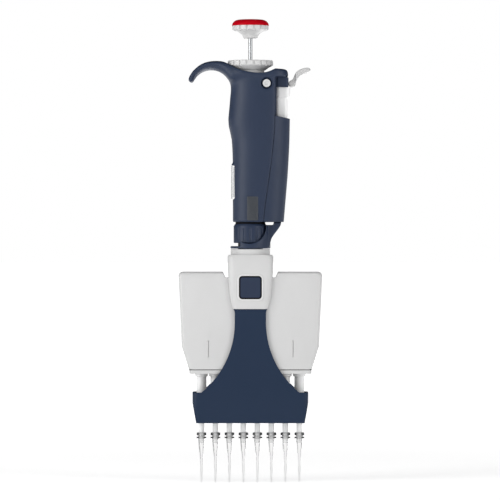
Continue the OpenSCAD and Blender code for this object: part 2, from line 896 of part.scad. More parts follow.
module ejector_arm() {
    sleeve_in = nut_r + 0.4;
    ring_out = sleeve_in + 1.7;
    ring_in = stem_r + 0.4;
    step_z = nut_top - 0.6;
    shoulder_z = handle_z - slide_gap;
    blade_front = 15;
    blade_back = 19.9;
    blade_half = 2.4;
    color([0.17, 0.2, 0.27])
        union() {
            difference() {
                translate([0, 0, arm_ring_z])
                    cylinder(r = ring_out, h = arm_ring_top - arm_ring_z);
                translate([0, 0, arm_ring_z - cut])
                    cylinder(r = ring_in, h = 6);
            }
            difference() {
                translate([0, 0, arm_ring_z])
                    cylinder(r = ring_out, h = step_z - arm_ring_z);
                translate([0, 0, arm_ring_z - cut])
                    cylinder(r = sleeve_in, h = 30);
                translate([-0.7, 0, nut_top - 1.9])
                    rotate([90, 0, 0])
                        cylinder(r = 10.7, h = 40, center = true);
                translate([-20, -20, arm_ring_top])
                    cube([13.4, 40, 30]);
                translate([-20, -20, nut_top - 1.9])
                    cube([29, 40, 30]);
            }
            towards_viewer(11, -5.5)
                polygon([
                    [sleeve_in, arm_ring_top - 0.4], [ring_out - 0.6, arm_ring_top - 0.4],
                    [ring_out, nut_z + 0.6], [ring_out + 0.8, nut_z + 3.2],
                    [ring_out + 2.6, nut_z + 5.8], [ring_out + 4.6, nut_z + 8.4],
                    [ring_out + 6.3, nut_z + 10.9], [blade_back, shoulder_z],
                    [blade_front, shoulder_z], [blade_front, step_z + 1.4],
                    [blade_front - 0.4, step_z], [sleeve_in, step_z]
                ]);
            translate([blade_front, -blade_half, shoulder_z - cut])
                cube([blade_back - 0.3 - blade_front, 2 * blade_half, arm_top - shoulder_z + cut]);
        }
}

module ejector_spring() {
    color([0.75, 0.76, 0.78])
        translate([rod_x, 0, ledge_top])
            coil(2.1, spring_wire, 9, tube_z - 1.4 - ledge_top);
}

// Head

// Convex front outline of the housing, inset towards its middle.
function housing_outline(inset) =
    let (
        foot = row_half + housing_foot_reach - inset,
        bend = row_half + housing_bend_reach - inset,
        top = row_half + housing_top_reach - inset,
        r = housing_edge
    )
    concat(
        [[-foot, housing_z], [foot, housing_z], [bend, housing_z + bend_h]],
        [for (k = [0 : 5])
            [top - r + r * cos(18 * k), housing_top - inset - r + r * sin(18 * k)]],
        [for (k = [5 : -1 : 0])
            [-top + r - r * cos(18 * k), housing_top - inset - r + r * sin(18 * k)]],
        [[-bend, housing_z + bend_h]]
    );

// One half of the housing, in front of the split plane.
module housing_half() {
    side_slot_x = row_half - 4.4;
    difference() {
        hull() {
            for (step = [[0, housing_edge], [0.5, 1.1], [1.2, 0.3], [2, 0]]) {
                towards_viewer(housing_d - step[1])
                    polygon(housing_outline(step[0]));
            }
        }
        difference() {
            towards_viewer(housing_d - head_wall + cut, -cut)
                difference() {
                    polygon(housing_outline(head_wall));
                    translate([-collar_half - 2.7, core_top - head_wall])
                        square([2 * collar_half + 5.4, 10]);
                }
            translate([-waist_half - head_wall, -30, waist_z - head_wall])
                cube([2 * (waist_half + head_wall), 30 - waist_d + head_wall, 80]);
        }
        translate([-row_half, -housing_d + head_wall, housing_z - cut])
            cube([2 * row_half, housing_d, 3]);
        towards_viewer(40, -10)
            polygon([
                [-collar_half - 3.3, housing_top + 0.1], [-collar_half - 1.5, core_top],
                [collar_half + 1.5, core_top], [collar_half + 3.3, housing_top + 0.1]
            ]);
        translate([-waist_half, -30, waist_z])
            cube([2 * waist_half, 30 - waist_d, 80]);
        translate([0, 0, core_top - 10])
            cylinder(r = stem_neck_r + seat_gap, h = 20);
        for (x = [-1, 1]) {
            translate([x * side_slot_x - 0.5, -housing_d - cut, housing_z + 8])
                cube([1, cut + 0.6, 10.5]);
        }
    }
}

module housing_front() {
    color([0.86, 0.86, 0.86])
        housing_half();
}

module housing_back() {
    color([0.86, 0.86, 0.86])
        mirror([0, 1, 0])
            housing_half();
}

module nozzle_plate() {
    plate_half = row_half + housing_foot_reach - 0.3;
    color([0.86, 0.86, 0.86])
        difference() {
            union() {
                translate([0, 0, plate_z])
                    round_plate(2 * plate_half, 2 * housing_d - 0.6, 2, plate_t - 0.45);
                translate([0, 0, plate_z + 0.5])
                    round_plate(2 * plate_half - 1, 2 * housing_d - 1.6, 1.5, plate_t - 0.5);
            }
            for (x = channel_x) {
                translate([x, 0, plate_z - cut])
                    cylinder(r = barrel_r + seat_gap, h = plate_t + 2 * cut);
            }
            for (x = [-1, 1]) {
                translate([x * post_x, 0, plate_z + 1])
                    cylinder(r = post_r + seat_gap, h = plate_t);
            }
        }
}

// Nozzle of one channel with its barrel, bore and seal pocket.
module nozzle(i) {
    grip_taper = 0.037;
    color([0.9, 0.9, 0.9])
        translate([channel_x[i - 1], 0, 0])
            difference() {
                rotate_extrude()
                    polygon([
                        [0, nozzle_end], [cone_r - grip_taper * tip_grip, nozzle_end],
                        [cone_r, tip_length], [cone_r + 0.25, nozzle_step - 0.6],
                        [nozzle_r, nozzle_step + 0.4], [nozzle_r, plate_z - 2.1],
                        [nozzle_flange_r, plate_z - 1.9], [nozzle_flange_r, plate_z],
                        [barrel_r, plate_z], [barrel_r, barrel_top], [0, barrel_top]
                    ]);
                translate([0, 0, nozzle_end - cut])
                    cylinder(r = bore_r, h = 100);
                translate([0, 0, barrel_top - 3])
                    cylinder(r = 2, h = 3 + cut);
            }
}

// Clear tip with two ribs round its rim.
module tip(i) {
    grip_taper = 0.037;
    fit = cone_r + 0.03;
    color([0.9, 0.9, 0.92, 0.5])
        translate([channel_x[i - 1], 0, 0])
            rotate_extrude()
                polygon([
                    [0.24, 0], [0.44, 0], [0.58, 0.2 * tip_length], [0.7, 0.207 * tip_length],
                    [0.98, 0.51 * tip_length], [1.66, tip_length - 9.6],
                    [fit + 0.28, tip_length - 3.9],
                    [tip_rim_r, tip_length - 3.7], [tip_rim_r, tip_length - 2.8],
                    [tip_rim_r - 0.9, tip_length - 2.6], [tip_rim_r - 0.9, tip_length - 2],
                    [tip_rim_r, tip_length - 1.8], [tip_rim_r, tip_length - 0.2],
                    [tip_rim_r - 0.2, tip_length], [fit, tip_length],
                    [fit - grip_taper * tip_grip, nozzle_end],
                    [1.34, tip_length - 9.8], [0.68, 0.51 * tip_length], [0.38, 0.2 * tip_length]
                ]);
}

// Hollow stem on which the head swivels under the handle.
module swivel_stem() {
    lip_r = stem_neck_r + 0.4;
    stop_r = stem_bore - 0.6;
    color([0.2, 0.2, 0.22])
        rotate_extrude()
            polygon([
                [drive_r + run_gap, core_top - 3.2], [lip_r, core_top - 3.2],
                [lip_r, core_top - head_wall - 0.1], [stem_neck_r, core_top - head_wall - 0.1],
                [stem_neck_r, core_top], [stem_r, core_top], [stem_r, stem_flange_z],
                [stem_flange_r, stem_flange_z], [stem_flange_r, stem_top],
                [stem_bore, stem_top], [stem_bore, washer_top + 1], [stop_r, washer_top + 0.9],
                [stop_r, washer_top + 0.1], [stem_bore, washer_top + 0.1],
                [stem_bore, stem_floor], [drive_r + run_gap, stem_floor]
            ]);
}

module guide_posts() {
    color([0.75, 0.76, 0.78])
        for (x = [-1, 1]) {
            translate([x * post_x, 0, plate_z + 1])
                cylinder(r = post_r, h = housing_top - head_wall - 0.2 - plate_z - 1);
        }
}

// Rings that seal the pistons in the nozzle barrels.
module piston_seals() {
    color([0.12, 0.12, 0.12])
        for (x = channel_x) {
            translate([x, 0, barrel_top - 2.9])
                difference() {
                    cylinder(r = 1.95, h = 2.8);
                    translate([0, 0, -cut])
                        cylinder(r = bore_r, h = 5);
                }
        }
}

module piston_crossbar() {
    color([0.72, 0.73, 0.75])
        difference() {
            translate([0, 0, crossbar_z])
                round_plate(2 * row_half + 2 * pitch, 10, 2, crossbar_h);
            for (x = [-1, 1]) {
                translate([x * post_x, 0, crossbar_z - cut])
                    cylinder(r = post_r + run_gap, h = 10);
            }
            translate([0, 0, crossbar_z + 2])
                cylinder(r = drive_r + seat_gap, h = 10);
        }
}

module pistons() {
    color([0.75, 0.76, 0.78])
        for (x = channel_x) {
            translate([x, 0, plate_z + 2])
                cylinder(r = piston_r, h = crossbar_z - plate_z - 2);
        }
}

// Rod with a stop skirt that the push rod's foot drives.
module drive_rod() {
    color([0.75, 0.76, 0.78])
        rotate_extrude()
            polygon([
                [0, crossbar_z + 2], [drive_r, crossbar_z + 2], [drive_r, drive_flange_z - 0.1],
                [2.9, drive_flange_z - 0.1], [2.9, skirt_z], [stem_bore - 2.4, skirt_z],
                [stem_bore - 2.4, drive_flange_z], [stem_bore - 0.8, drive_flange_z],
                [stem_bore - 0.8, drive_top], [0, drive_top]
            ]);
}

module return_spring() {
    color([0.75, 0.76, 0.78])
        translate([0, 0, washer_top])
            coil(stem_bore - 1.4, spring_wire, 5, drive_flange_z - washer_top);
}

// Floating washer at which the first stop is felt.
module purge_washer() {
    color([0.72, 0.62, 0.36])
        difference() {
            translate([0, 0, washer_z])
                cylinder(r = stem_bore - run_gap, h = washer_top - washer_z);
            translate([0, 0, washer_z - cut])
                cylinder(r = drive_r + 0.2, h = 4);
        }
}

module purge_spring() {
    color([0.75, 0.76, 0.78])
        translate([0, 0, stem_floor])
            coil(stem_bore - 1.6, 0.5, 3, washer_z - stem_floor);
}

// Tip ejector on the head

// Inverted cup that straddles the housing and carries the comb.
module ejector_collar() {
    full = 2 * collar_half;
    deep = 2 * collar_d;
    color([0.86, 0.86, 0.86])
        difference() {
            union() {
                hull() {
                    translate([0, 0, collar_top - 0.9])
                        linear_extrude(0.9)
                            soft_square(full - 1.2, deep - 1.2, 4.5);
                    translate([0, 0, collar_z + 24])
                        linear_extrude(collar_h - 25.2)
                            soft_square(full, deep, 4.5);
                    translate([0, 0, collar_z + 9])
                        linear_extrude(1)
                            soft_square(full - 2.4, deep - 0.4, 4.2);
                    translate([0, 0, collar_z + 2.5])
                        linear_extrude(1)
                            soft_square(full - 5, deep - 1, 3.8);
                    translate([0, 0, collar_z])
                        linear_extrude(0.5)
                            soft_square(full - 6.8, deep - 2.2, 3.2);
                }
                translate([0, 0, collar_top - cut])
                    cylinder(r = ring_r, h = ring_top - collar_top + cut - 0.4);
                translate([0, 0, ring_top - 0.4])
                    cylinder(r1 = ring_r, r2 = ring_r - 0.4, h = 0.4);
            }
            translate([0, 0, ring_under - cut])
                cylinder(r = stem_r + 0.15, h = 20);
            translate([-30, -saddle_d, collar_z - cut])
                cube([60, 2 * saddle_d, ring_under - collar_z + cut]);
            translate([-release_w / 2 - 1.2, collar_wall - collar_d, collar_z - cut])
                cube([release_w + 2.4, 10, release_h + 16]);
            towards_viewer(10, collar_d - 5)
                translate([0, release_z()])
                    soft_square(release_w + 0.3, release_h + 0.3, 2.2);
        }
}

// Height of the release button's middle.
function release_z() = collar_z + 13.8;

// Comb: two flared plates joined by a trough with a hole round each nozzle.
module ejector_comb() {
    taper_z = bar_z + 13.2;
    flare_z = bar_z + 64.7;
    color([0.15, 0.18, 0.24]) {
        difference() {
            intersection() {
                towards_viewer(60, -30) {
                    polygon([
                        [-bar_half + bar_draft, bar_z], [bar_half - bar_draft, bar_z],
                        [bar_half, taper_z], [bar_half, bar_top],
                        [-bar_half, bar_top], [-bar_half, taper_z]
                    ]);
                    difference() {
                        translate([-bar_half + 5, bar_top - cut])
                            square([2 * bar_half - 10, collar_z - bar_top + cut]);
                        for (x = [-1, 1]) {
                            translate([x * (neck_half + flare_r), flare_z])
                                circle(flare_r, $fn = 160);
                            translate([x * (neck_half + flare_r / 2) - flare_r / 2, flare_z])
                                square([flare_r, 30]);
                        }
                    }
                    polygon([
                        [-neck_half, collar_z - 2.6], [neck_half, collar_z - 2.6],
                        [neck_half + 0.25, collar_z - 1.2], [neck_half + 0.8, collar_z],
                        [-neck_half - 0.8, collar_z], [-neck_half - 0.25, collar_z - 1.2]
                    ]);
                }
                rotate([0, 0, 90])
                    towards_viewer(200, -100)
                        polygon([
                            [-comb_d + bar_draft, bar_z], [comb_d - bar_draft, bar_z],
                            [comb_d, taper_z], [comb_d, collar_z],
                            [-comb_d, collar_z], [-comb_d, taper_z]
                        ]);
                translate([0, 0, bar_z - cut])
                    round_plate(2 * bar_half, 2 * comb_d, 4, 200);
            }
            intersection() {
                rotate([0, 0, 90])
                    towards_viewer(200, -100)
                        polygon([
                            [-comb_in + bar_draft - 0.4, bar_z + 2.5],
                            [comb_in - bar_draft + 0.4, bar_z + 2.5],
                            [comb_in, taper_z], [comb_in, collar_z + cut],
                            [-comb_in, collar_z + cut], [-comb_in, taper_z]
                        ]);
                towards_viewer(60, -30)
                    polygon([
                        [-bar_half + bar_draft + comb_t, bar_z], [bar_half - bar_draft - comb_t, bar_z],
                        [bar_half - comb_t, taper_z], [bar_half - comb_t, collar_z + 2 * cut],
                        [-bar_half + comb_t, collar_z + 2 * cut], [-bar_half + comb_t, taper_z]
                    ]);
            }
            for (x = channel_x) {
                translate([x, 0, bar_z - cut])
                    cylinder(r = cone_r + 0.6, h = 6);
            }
        }
        for (side = [-1, 1]) {
            translate([-tongue_half, side > 0 ? tongue_in : -comb_d, collar_z - 2.4])
                cube([2 * tongue_half, comb_d - tongue_in, 2.4]);
            translate([-tongue_half, side > 0 ? tongue_in : -tongue_d, collar_z - cut])
                cube([2 * tongue_half, tongue_d - tongue_in, tongue_top - collar_z + cut]);
        }
    }
}

// Square button that frees the comb from the collar.
module release_button() {
    face_d = collar_d + 0.25;
    color([0.17, 0.2, 0.27])
        difference() {
            union() {
                towards_viewer(face_d - lip_d + 0.4, lip_d - 0.4)
                    translate([0, release_z()])
                        soft_square(release_w, release_h, 2.1);
                towards_viewer(release_lip, lip_d - release_lip)
                    translate([0, release_z()])
                        soft_square(release_w + 1.8, release_h + 1.8, 2);
            }
            translate([0, -lip_d + release_lip + cut, release_z()])
                rotate([90, 0, 0])
                    cylinder(r = 2.8, h = 2 + cut);
        }
}

module release_spring() {
    length = lip_d - release_lip + 2 - tongue_d;
    color([0.75, 0.76, 0.78])
        translate([0, -tongue_d, release_z()])
            rotate([90, 0, 0])
                coil(2.2, 0.3, 3, length);
}

handle_shell_front();
handle_shell_back();
rear_cover();
counter_window();
guide_sleeve();
nose_spigot();
coupling_nut();
button_cap();
push_button();
push_rod();
rod_foot();
thumbwheel();
volume_screw();
volume_nut();
drum_tens();
drum_units();
drum_tenths();
lock_bolt();
ejector_paddle();
ejector_head();
ejector_tube();
ejector_rod();
ejector_arm();
ejector_spring();
housing_front();
housing_back();
nozzle_plate();
swivel_stem();
guide_posts();
piston_seals();
piston_crossbar();
pistons();
drive_rod();
return_spring();
purge_washer();
purge_spring();
ejector_collar();
ejector_comb();
release_button();
release_spring();
for (i = [1 : channels]) {
    nozzle(i);
    tip(i);
}
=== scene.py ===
"""Dressed model of a multichannel pipette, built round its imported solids.

Lengths are metres in the frame of the solids: +Z runs up the pipette, X along the row of tips, and
-Y faces the viewer.
"""

import logging
import math
from collections.abc import Callable, Sequence
from dataclasses import dataclass
from enum import Enum
from typing import Any, Union

import bmesh
import bpy
import numpy as np
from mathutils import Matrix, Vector


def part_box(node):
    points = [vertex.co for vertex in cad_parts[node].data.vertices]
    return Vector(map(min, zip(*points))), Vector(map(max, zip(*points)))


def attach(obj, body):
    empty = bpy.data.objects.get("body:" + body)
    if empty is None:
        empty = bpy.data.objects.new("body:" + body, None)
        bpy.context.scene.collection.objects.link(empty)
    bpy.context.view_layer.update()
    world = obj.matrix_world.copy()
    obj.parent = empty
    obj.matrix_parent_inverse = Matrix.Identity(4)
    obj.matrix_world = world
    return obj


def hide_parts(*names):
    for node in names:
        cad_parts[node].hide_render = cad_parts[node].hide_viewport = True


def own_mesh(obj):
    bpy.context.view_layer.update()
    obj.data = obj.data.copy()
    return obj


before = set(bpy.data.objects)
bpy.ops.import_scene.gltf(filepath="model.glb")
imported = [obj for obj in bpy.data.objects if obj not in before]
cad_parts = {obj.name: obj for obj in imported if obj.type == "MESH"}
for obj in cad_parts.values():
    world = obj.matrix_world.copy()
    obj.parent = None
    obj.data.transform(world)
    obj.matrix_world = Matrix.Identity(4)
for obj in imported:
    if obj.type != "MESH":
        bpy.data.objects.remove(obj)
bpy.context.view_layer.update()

log = logging.getLogger("pipette")
MM = 0.001
WELD = 0.002 * MM
CHANNELS = sum(node.startswith("tip_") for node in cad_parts)
Triple = tuple[float, float, float]
Pairs = tuple[tuple[float, float], ...]
Colour = Triple
Number = Union["Value", float]
Entries = dict[Any, Any]
Weight = Callable[[np.ndarray], np.ndarray]
EVEN: Triple = (1.0, 1.0, 1.0)
SHARP_ANGLE = 35.0
Socket = bpy.types.NodeSocket
Node = bpy.types.Node
Material = bpy.types.Material
Mesh = bpy.types.Mesh
Piece = bpy.types.Object


def grey(level: float) -> Colour:
    """Gives a colour with equal red, green and blue."""
    return (level, level, level)


class Value:
    """Number that varies over a surface. Arithmetic on it adds Math nodes."""

    def __init__(self, bench: "Bench", socket: Socket) -> None:
        """Keeps the tree and the socket that gives the number."""
        self.bench = bench
        self.socket = socket

    def math(self, operation: str, *operands: Number) -> "Value":
        """Adds one Math node with the operands in its sockets, in order."""
        return self.bench.value("ShaderNodeMath", {"operation": operation}, dict(enumerate(operands)))

    def __add__(self, other: Number) -> "Value":
        """Sum of two numbers."""
        return self.math("ADD", self, other)

    def __sub__(self, other: Number) -> "Value":
        """Difference of two numbers."""
        return self.math("SUBTRACT", self, other)

    def __rsub__(self, other: Number) -> "Value":
        """Difference with the varying number taken away."""
        return self.math("SUBTRACT", other, self)

    def __mul__(self, other: Number) -> "Value":
        """Product of two numbers."""
        return self.math("MULTIPLY", self, other)

    def __pow__(self, other: Number) -> "Value":
        """Power of the number."""
        return self.math("POWER", self, other)

    def __rpow__(self, other: Number) -> "Value":
        """Power with the varying number as its exponent."""
        return self.math("POWER", other, self)

    __radd__ = __add__
    __rmul__ = __mul__

    def within(self, low: float, high: float) -> "Value":
        """Eases from 0 at low to 1 at high."""
        inputs = {"Value": self, "From Min": low, "From Max": high}
        return self.bench.value("ShaderNodeMapRange", {"interpolation_type": "SMOOTHSTEP"}, inputs)


class Bench:
    """Node tree of one material or of the studio's surroundings."""

    def __init__(self, owner: Material | bpy.types.World) -> None:
        """Starts from an empty tree.

        Args:
            owner: material or surroundings that the tree belongs to.
        """
        owner.use_nodes = True
        self.owner = owner
        self.tree = owner.node_tree
        self.tree.nodes.clear()

    def node(self, kind: str, settings: Entries | None = None, inputs: Entries | None = None) -> Node:
        """Adds a node of any kind.

        Args:
            kind: Blender's name of the node's type.
            settings: properties, which are set first.
            inputs: values or links, by the socket's name or number.

        Returns:
            The node.
        """
        node = self.tree.nodes.new(kind)
        for key, setting in (settings or {}).items():
            setattr(node, key, setting)
        for key, entry in (inputs or {}).items():
            source = entry.socket if isinstance(entry, Value) else entry
            if isinstance(source, Socket):
                self.tree.links.new(source, node.inputs[key])
            else:
                node.inputs[key].default_value = source
        return node

    def value(self, kind: str, settings: Entries, inputs: Entries, output: int | str = 0) -> Value:
        """Adds a node and wraps one of its outputs as a number."""
        return Value(self, self.node(kind, settings, inputs).outputs[output])

    def place(self, stretch: Triple = EVEN) -> Socket:
        """Gives the place on the piece.

        Args:
            stretch: how often a pattern repeats along X, Y and Z, against 1 a metre.

        Returns:
            The place as a vector.
        """
        coordinates = self.node("ShaderNodeTexCoord").outputs["Object"]
        settings = {"operation": "MULTIPLY"}
        return self.node("ShaderNodeVectorMath", settings, {0: coordinates, 1: stretch}).outputs[0]

    def noise(self, size: float, detail: float = 2.0, stretch: Triple = EVEN) -> Value:
        """Adds cloudy variation round one half, in clouds of a given size before any stretch."""
        inputs = {"Vector": self.place(stretch), "Scale": 1.0 / size, "Detail": detail}
        return self.value("ShaderNodeTexNoise", {}, inputs)

    def blend(self, share: Value, first: Any, second: Any) -> Socket:
        """Mixes two colours.

        Args:
            share: share of the second colour.
            first: colour or socket.
            second: colour or socket.

        Returns:
            The mixed colour.
        """
        pair = [c if isinstance(c, Socket) else (*c, 1.0) for c in (first, second)]
        inputs = {0: share, 6: pair[0], 7: pair[1]}
        return self.node("ShaderNodeMix", {"data_type": "RGBA"}, inputs).outputs[2]

    def eased(self, radius: float) -> Socket:
        """Gives the normal as if sharp edges had a small radius."""
        return self.node("ShaderNodeBevel", {"samples": 4}, {"Radius": radius}).outputs[0]

    def edges(self, eased: Socket) -> Value:
        """Gives how far a normal with eased edges leans from the true one."""
        inputs = {0: eased, 1: self.node("ShaderNodeNewGeometry").outputs["Normal"]}
        return 1.0 - self.value("ShaderNodeVectorMath", {"operation": "DOT_PRODUCT"}, inputs, 1)

    def relief(self, height: Value, depth: float, normal: Socket | None = None) -> Socket:
        """Turns a height into a normal.

        Args:
            height: height from 0 to 1.
            depth: depth of the full height.
            normal: normal on which the height stands, if not the piece's own.

        Returns:
            The normal.
        """
        inputs: Entries = {"Height": height, "Distance": depth, "Strength": 1.0}
        if normal is not None:
            inputs["Normal"] = normal
        return self.node("ShaderNodeBump", {}, inputs).outputs[0]

    def surface(self, sockets: Entries) -> Node:
        """Adds the main shader with values or links in its sockets."""
        return self.node("ShaderNodeBsdfPrincipled", {}, sockets)

    def close(self, shader: Node, kind: str = "ShaderNodeOutputMaterial") -> Any:
        """Links the last shader to an output node, and gives the tree's owner."""
        self.node(kind, {}, {"Surface": shader.outputs[0]})
        return self.owner


@dataclass(frozen=True)
class MouldedPlastic:
    """Moulded plastic with a spark-eroded grain, faint flow clouds, and lighter edges that are partly
    wear and partly a painted highlight.
    """

    name: str
    colour: Colour
    cloud: Colour
    # Colour of the eased edges: partly rubbed wear, partly a painted highlight.
    rubbed_and_highlight: Colour
    roughness: float
    specular: float
    flow: float = 14.0 * MM
    flow_stretch: Triple = (1.0, 1.0, 0.6)
    handling: float = 5.0 * MM
    grain: float = 0.30 * MM
    grain_depth: float = 0.006 * MM
    edge: float = 0.25 * MM
    wear_and_highlight: float = 0.5
    play: float = 0.06

    def material(self) -> Material:
        """Builds the material.

        Returns:
            The material.
        """
        bench = Bench(bpy.data.materials.new(self.name))
        flow = bench.noise(self.flow, 3.0, self.flow_stretch).within(0.35, 0.7)
        handling = bench.noise(self.handling, 4.0)
        grain = bench.noise(self.grain, 1.0)
        eased = bench.eased(self.edge)
        # Lighter eased edges: partly wear, partly a painted highlight.
        worn_and_highlit = bench.edges(eased).within(0.03, 0.25) * handling.within(0.4, 0.65) * self.wear_and_highlight
        base = bench.blend(flow, self.colour, self.cloud)
        shader = bench.surface({
            "Base Color": bench.blend(worn_and_highlit, base, self.rubbed_and_highlight),
            "Roughness": self.roughness + (handling - 0.5) * self.play + (grain - 0.5) * self.play,
            "Normal": bench.relief(grain, self.grain_depth, eased),
            "Specular IOR Level": self.specular,
        })
        return bench.close(shader)


@dataclass(frozen=True)
class ClearPlastic:
    """Clear plastic whose rims are painted grey as shade for the refraction, and whose faces let the
    light through.
    """

    name: str
    colour: Colour
    body: float
    rim: float
    sharpness: float
    roughness: float = 0.12
    streak: float = 3.0 * MM
    streak_stretch: Triple = (1.0, 1.0, 0.15)
    streak_depth: float = 0.01 * MM
    streak_tone: float = 0.82
    play: float = 0.08
    clear: Colour = grey(0.985)

    def solid(self, bench: Bench, seen: Value) -> Value:
        """Gives the share that hides what is behind, from how steeply the surface is seen."""
        return self.body + (self.rim - self.body) * seen ** self.sharpness

    def tint(self, bench: Bench, draw: Value) -> Socket:
        """Gives the colour of the share that hides, with streaks along the piece."""
        return bench.blend(draw, self.colour, tuple(self.streak_tone * c for c in self.colour))

    def material(self) -> Material:
        """Builds the material.

        Returns:
            The material.
        """
        bench = Bench(bpy.data.materials.new(self.name))
        draw = bench.noise(self.streak, 2.0, self.streak_stretch)
        facing = bench.value("ShaderNodeLayerWeight", {}, {"Blend": 0.5}, "Facing")
        skin = bench.surface({
            "Base Color": self.tint(bench, draw),
            "Roughness": self.roughness + (draw - 0.5) * self.play,
            "Normal": bench.relief(draw, self.streak_depth),
        })
        through = bench.node("ShaderNodeBsdfTransparent", {}, {"Color": (*self.clear, 1.0)})
        inputs = {0: self.solid(bench, facing), 1: through.outputs[0], 2: skin.outputs[0]}
        return bench.close(bench.node("ShaderNodeMixShader", {}, inputs))


@dataclass(frozen=True)
class TipPlastic(ClearPlastic):
    """Clear plastic of the tips, whose thick rims are painted dark as shade for the refraction,
    beside a clear middle.
    """

    pitch: float = 9.0 * MM
    rim_from: float = 2.35 * MM
    rim_ramp: float = 0.15 * MM
    rim_share: float = 0.85
    rim_shade_colour: Colour = (0.03, 0.031, 0.032)

    def on_rim(self, bench: Bench) -> Value:
        """Finds the rims outside the tip's neck.

        Args:
            bench: the material's tree.

        Returns:
            1 on the rims and 0 elsewhere.
        """
        split = bench.node("ShaderNodeSeparateXYZ", {}, {0: bench.place()})
        x, y = (Value(bench, split.outputs[axis]) for axis in ("X", "Y"))
        x = x.math("WRAP", x, self.pitch, 0.0) - self.pitch / 2
        reach = (x ** 2.0 + y ** 2.0) ** 0.5
        return reach.within(self.rim_from, self.rim_from + self.rim_ramp)

    def tint(self, bench: Bench, draw: Value) -> Socket:
        """Gives the colour of the share that hides, with painted shade on the rims."""
        return bench.blend(self.on_rim(bench), super().tint(bench, draw), self.rim_shade_colour)

    def solid(self, bench: Bench, seen: Value) -> Value:
        """Gives the share that hides what is behind, larger on the sides of the rims."""
        sides = seen.within(0.03, 0.16)
        return super().solid(bench, seen) + self.on_rim(bench) * sides * self.rim_share


@dataclass(frozen=True)
class TurnedMetal:
    """Metal turned on a lathe or drawn to wire, with fine rings across its length."""

    name: str
    colour: Colour
    roughness: float
    edge: Colour = grey(0.12)
    bevel: float = 0.12 * MM
    ring: float = 0.25 * MM
    ring_depth: float = 0.003 * MM
    ring_stretch: Triple = (0.05, 0.05, 1.0)
    ring_play: float = 0.12
    film: float = 4.0 * MM
    film_tone: float = 0.72
    film_share: float = 0.6
    film_play: float = 0.06

    def material(self) -> Material:
        """Builds the material.

        Returns:
            The material.
        """
        bench = Bench(bpy.data.materials.new(self.name))
        rings = bench.noise(self.ring, 2.0, self.ring_stretch)
        film = bench.noise(self.film, 3.0).within(0.35, 0.7)
        dull = tuple(self.film_tone * c for c in self.colour)
        shader = bench.surface({
            "Base Color": bench.blend(film * self.film_share, self.colour, dull),
            "Metallic": 1.0,
            "Specular Tint": (*self.edge, 1.0),
            "Roughness": self.roughness + (rings - 0.5) * self.ring_play + film * self.film_play,
            "Normal": bench.relief(rings, self.ring_depth, bench.eased(self.bevel)),
        })
        return bench.close(shader)


@dataclass(frozen=True)
class SealRubber:
    """Matt rubber or ink with a fine bloom."""

    name: str
    colour: Colour
    bloom: Colour
    gloss: float = 0.1
    roughness: float = 0.72
    play: float = 0.2
    cloud: float = 1.2 * MM
    depth: float = 0.01 * MM

    def material(self) -> Material:
        """Builds the material.

        Returns:
            The material.
        """
        bench = Bench(bpy.data.materials.new(self.name))
        bloom = bench.noise(self.cloud, 4.0)
        shader = bench.surface({
            "Base Color": bench.blend(bloom.within(0.4, 0.75), self.colour, self.bloom),
            "Roughness": self.roughness + (bloom - 0.5) * self.play,
            "Specular IOR Level": self.gloss,
            "Normal": bench.relief(bloom, self.depth),
        })
        return bench.close(shader)


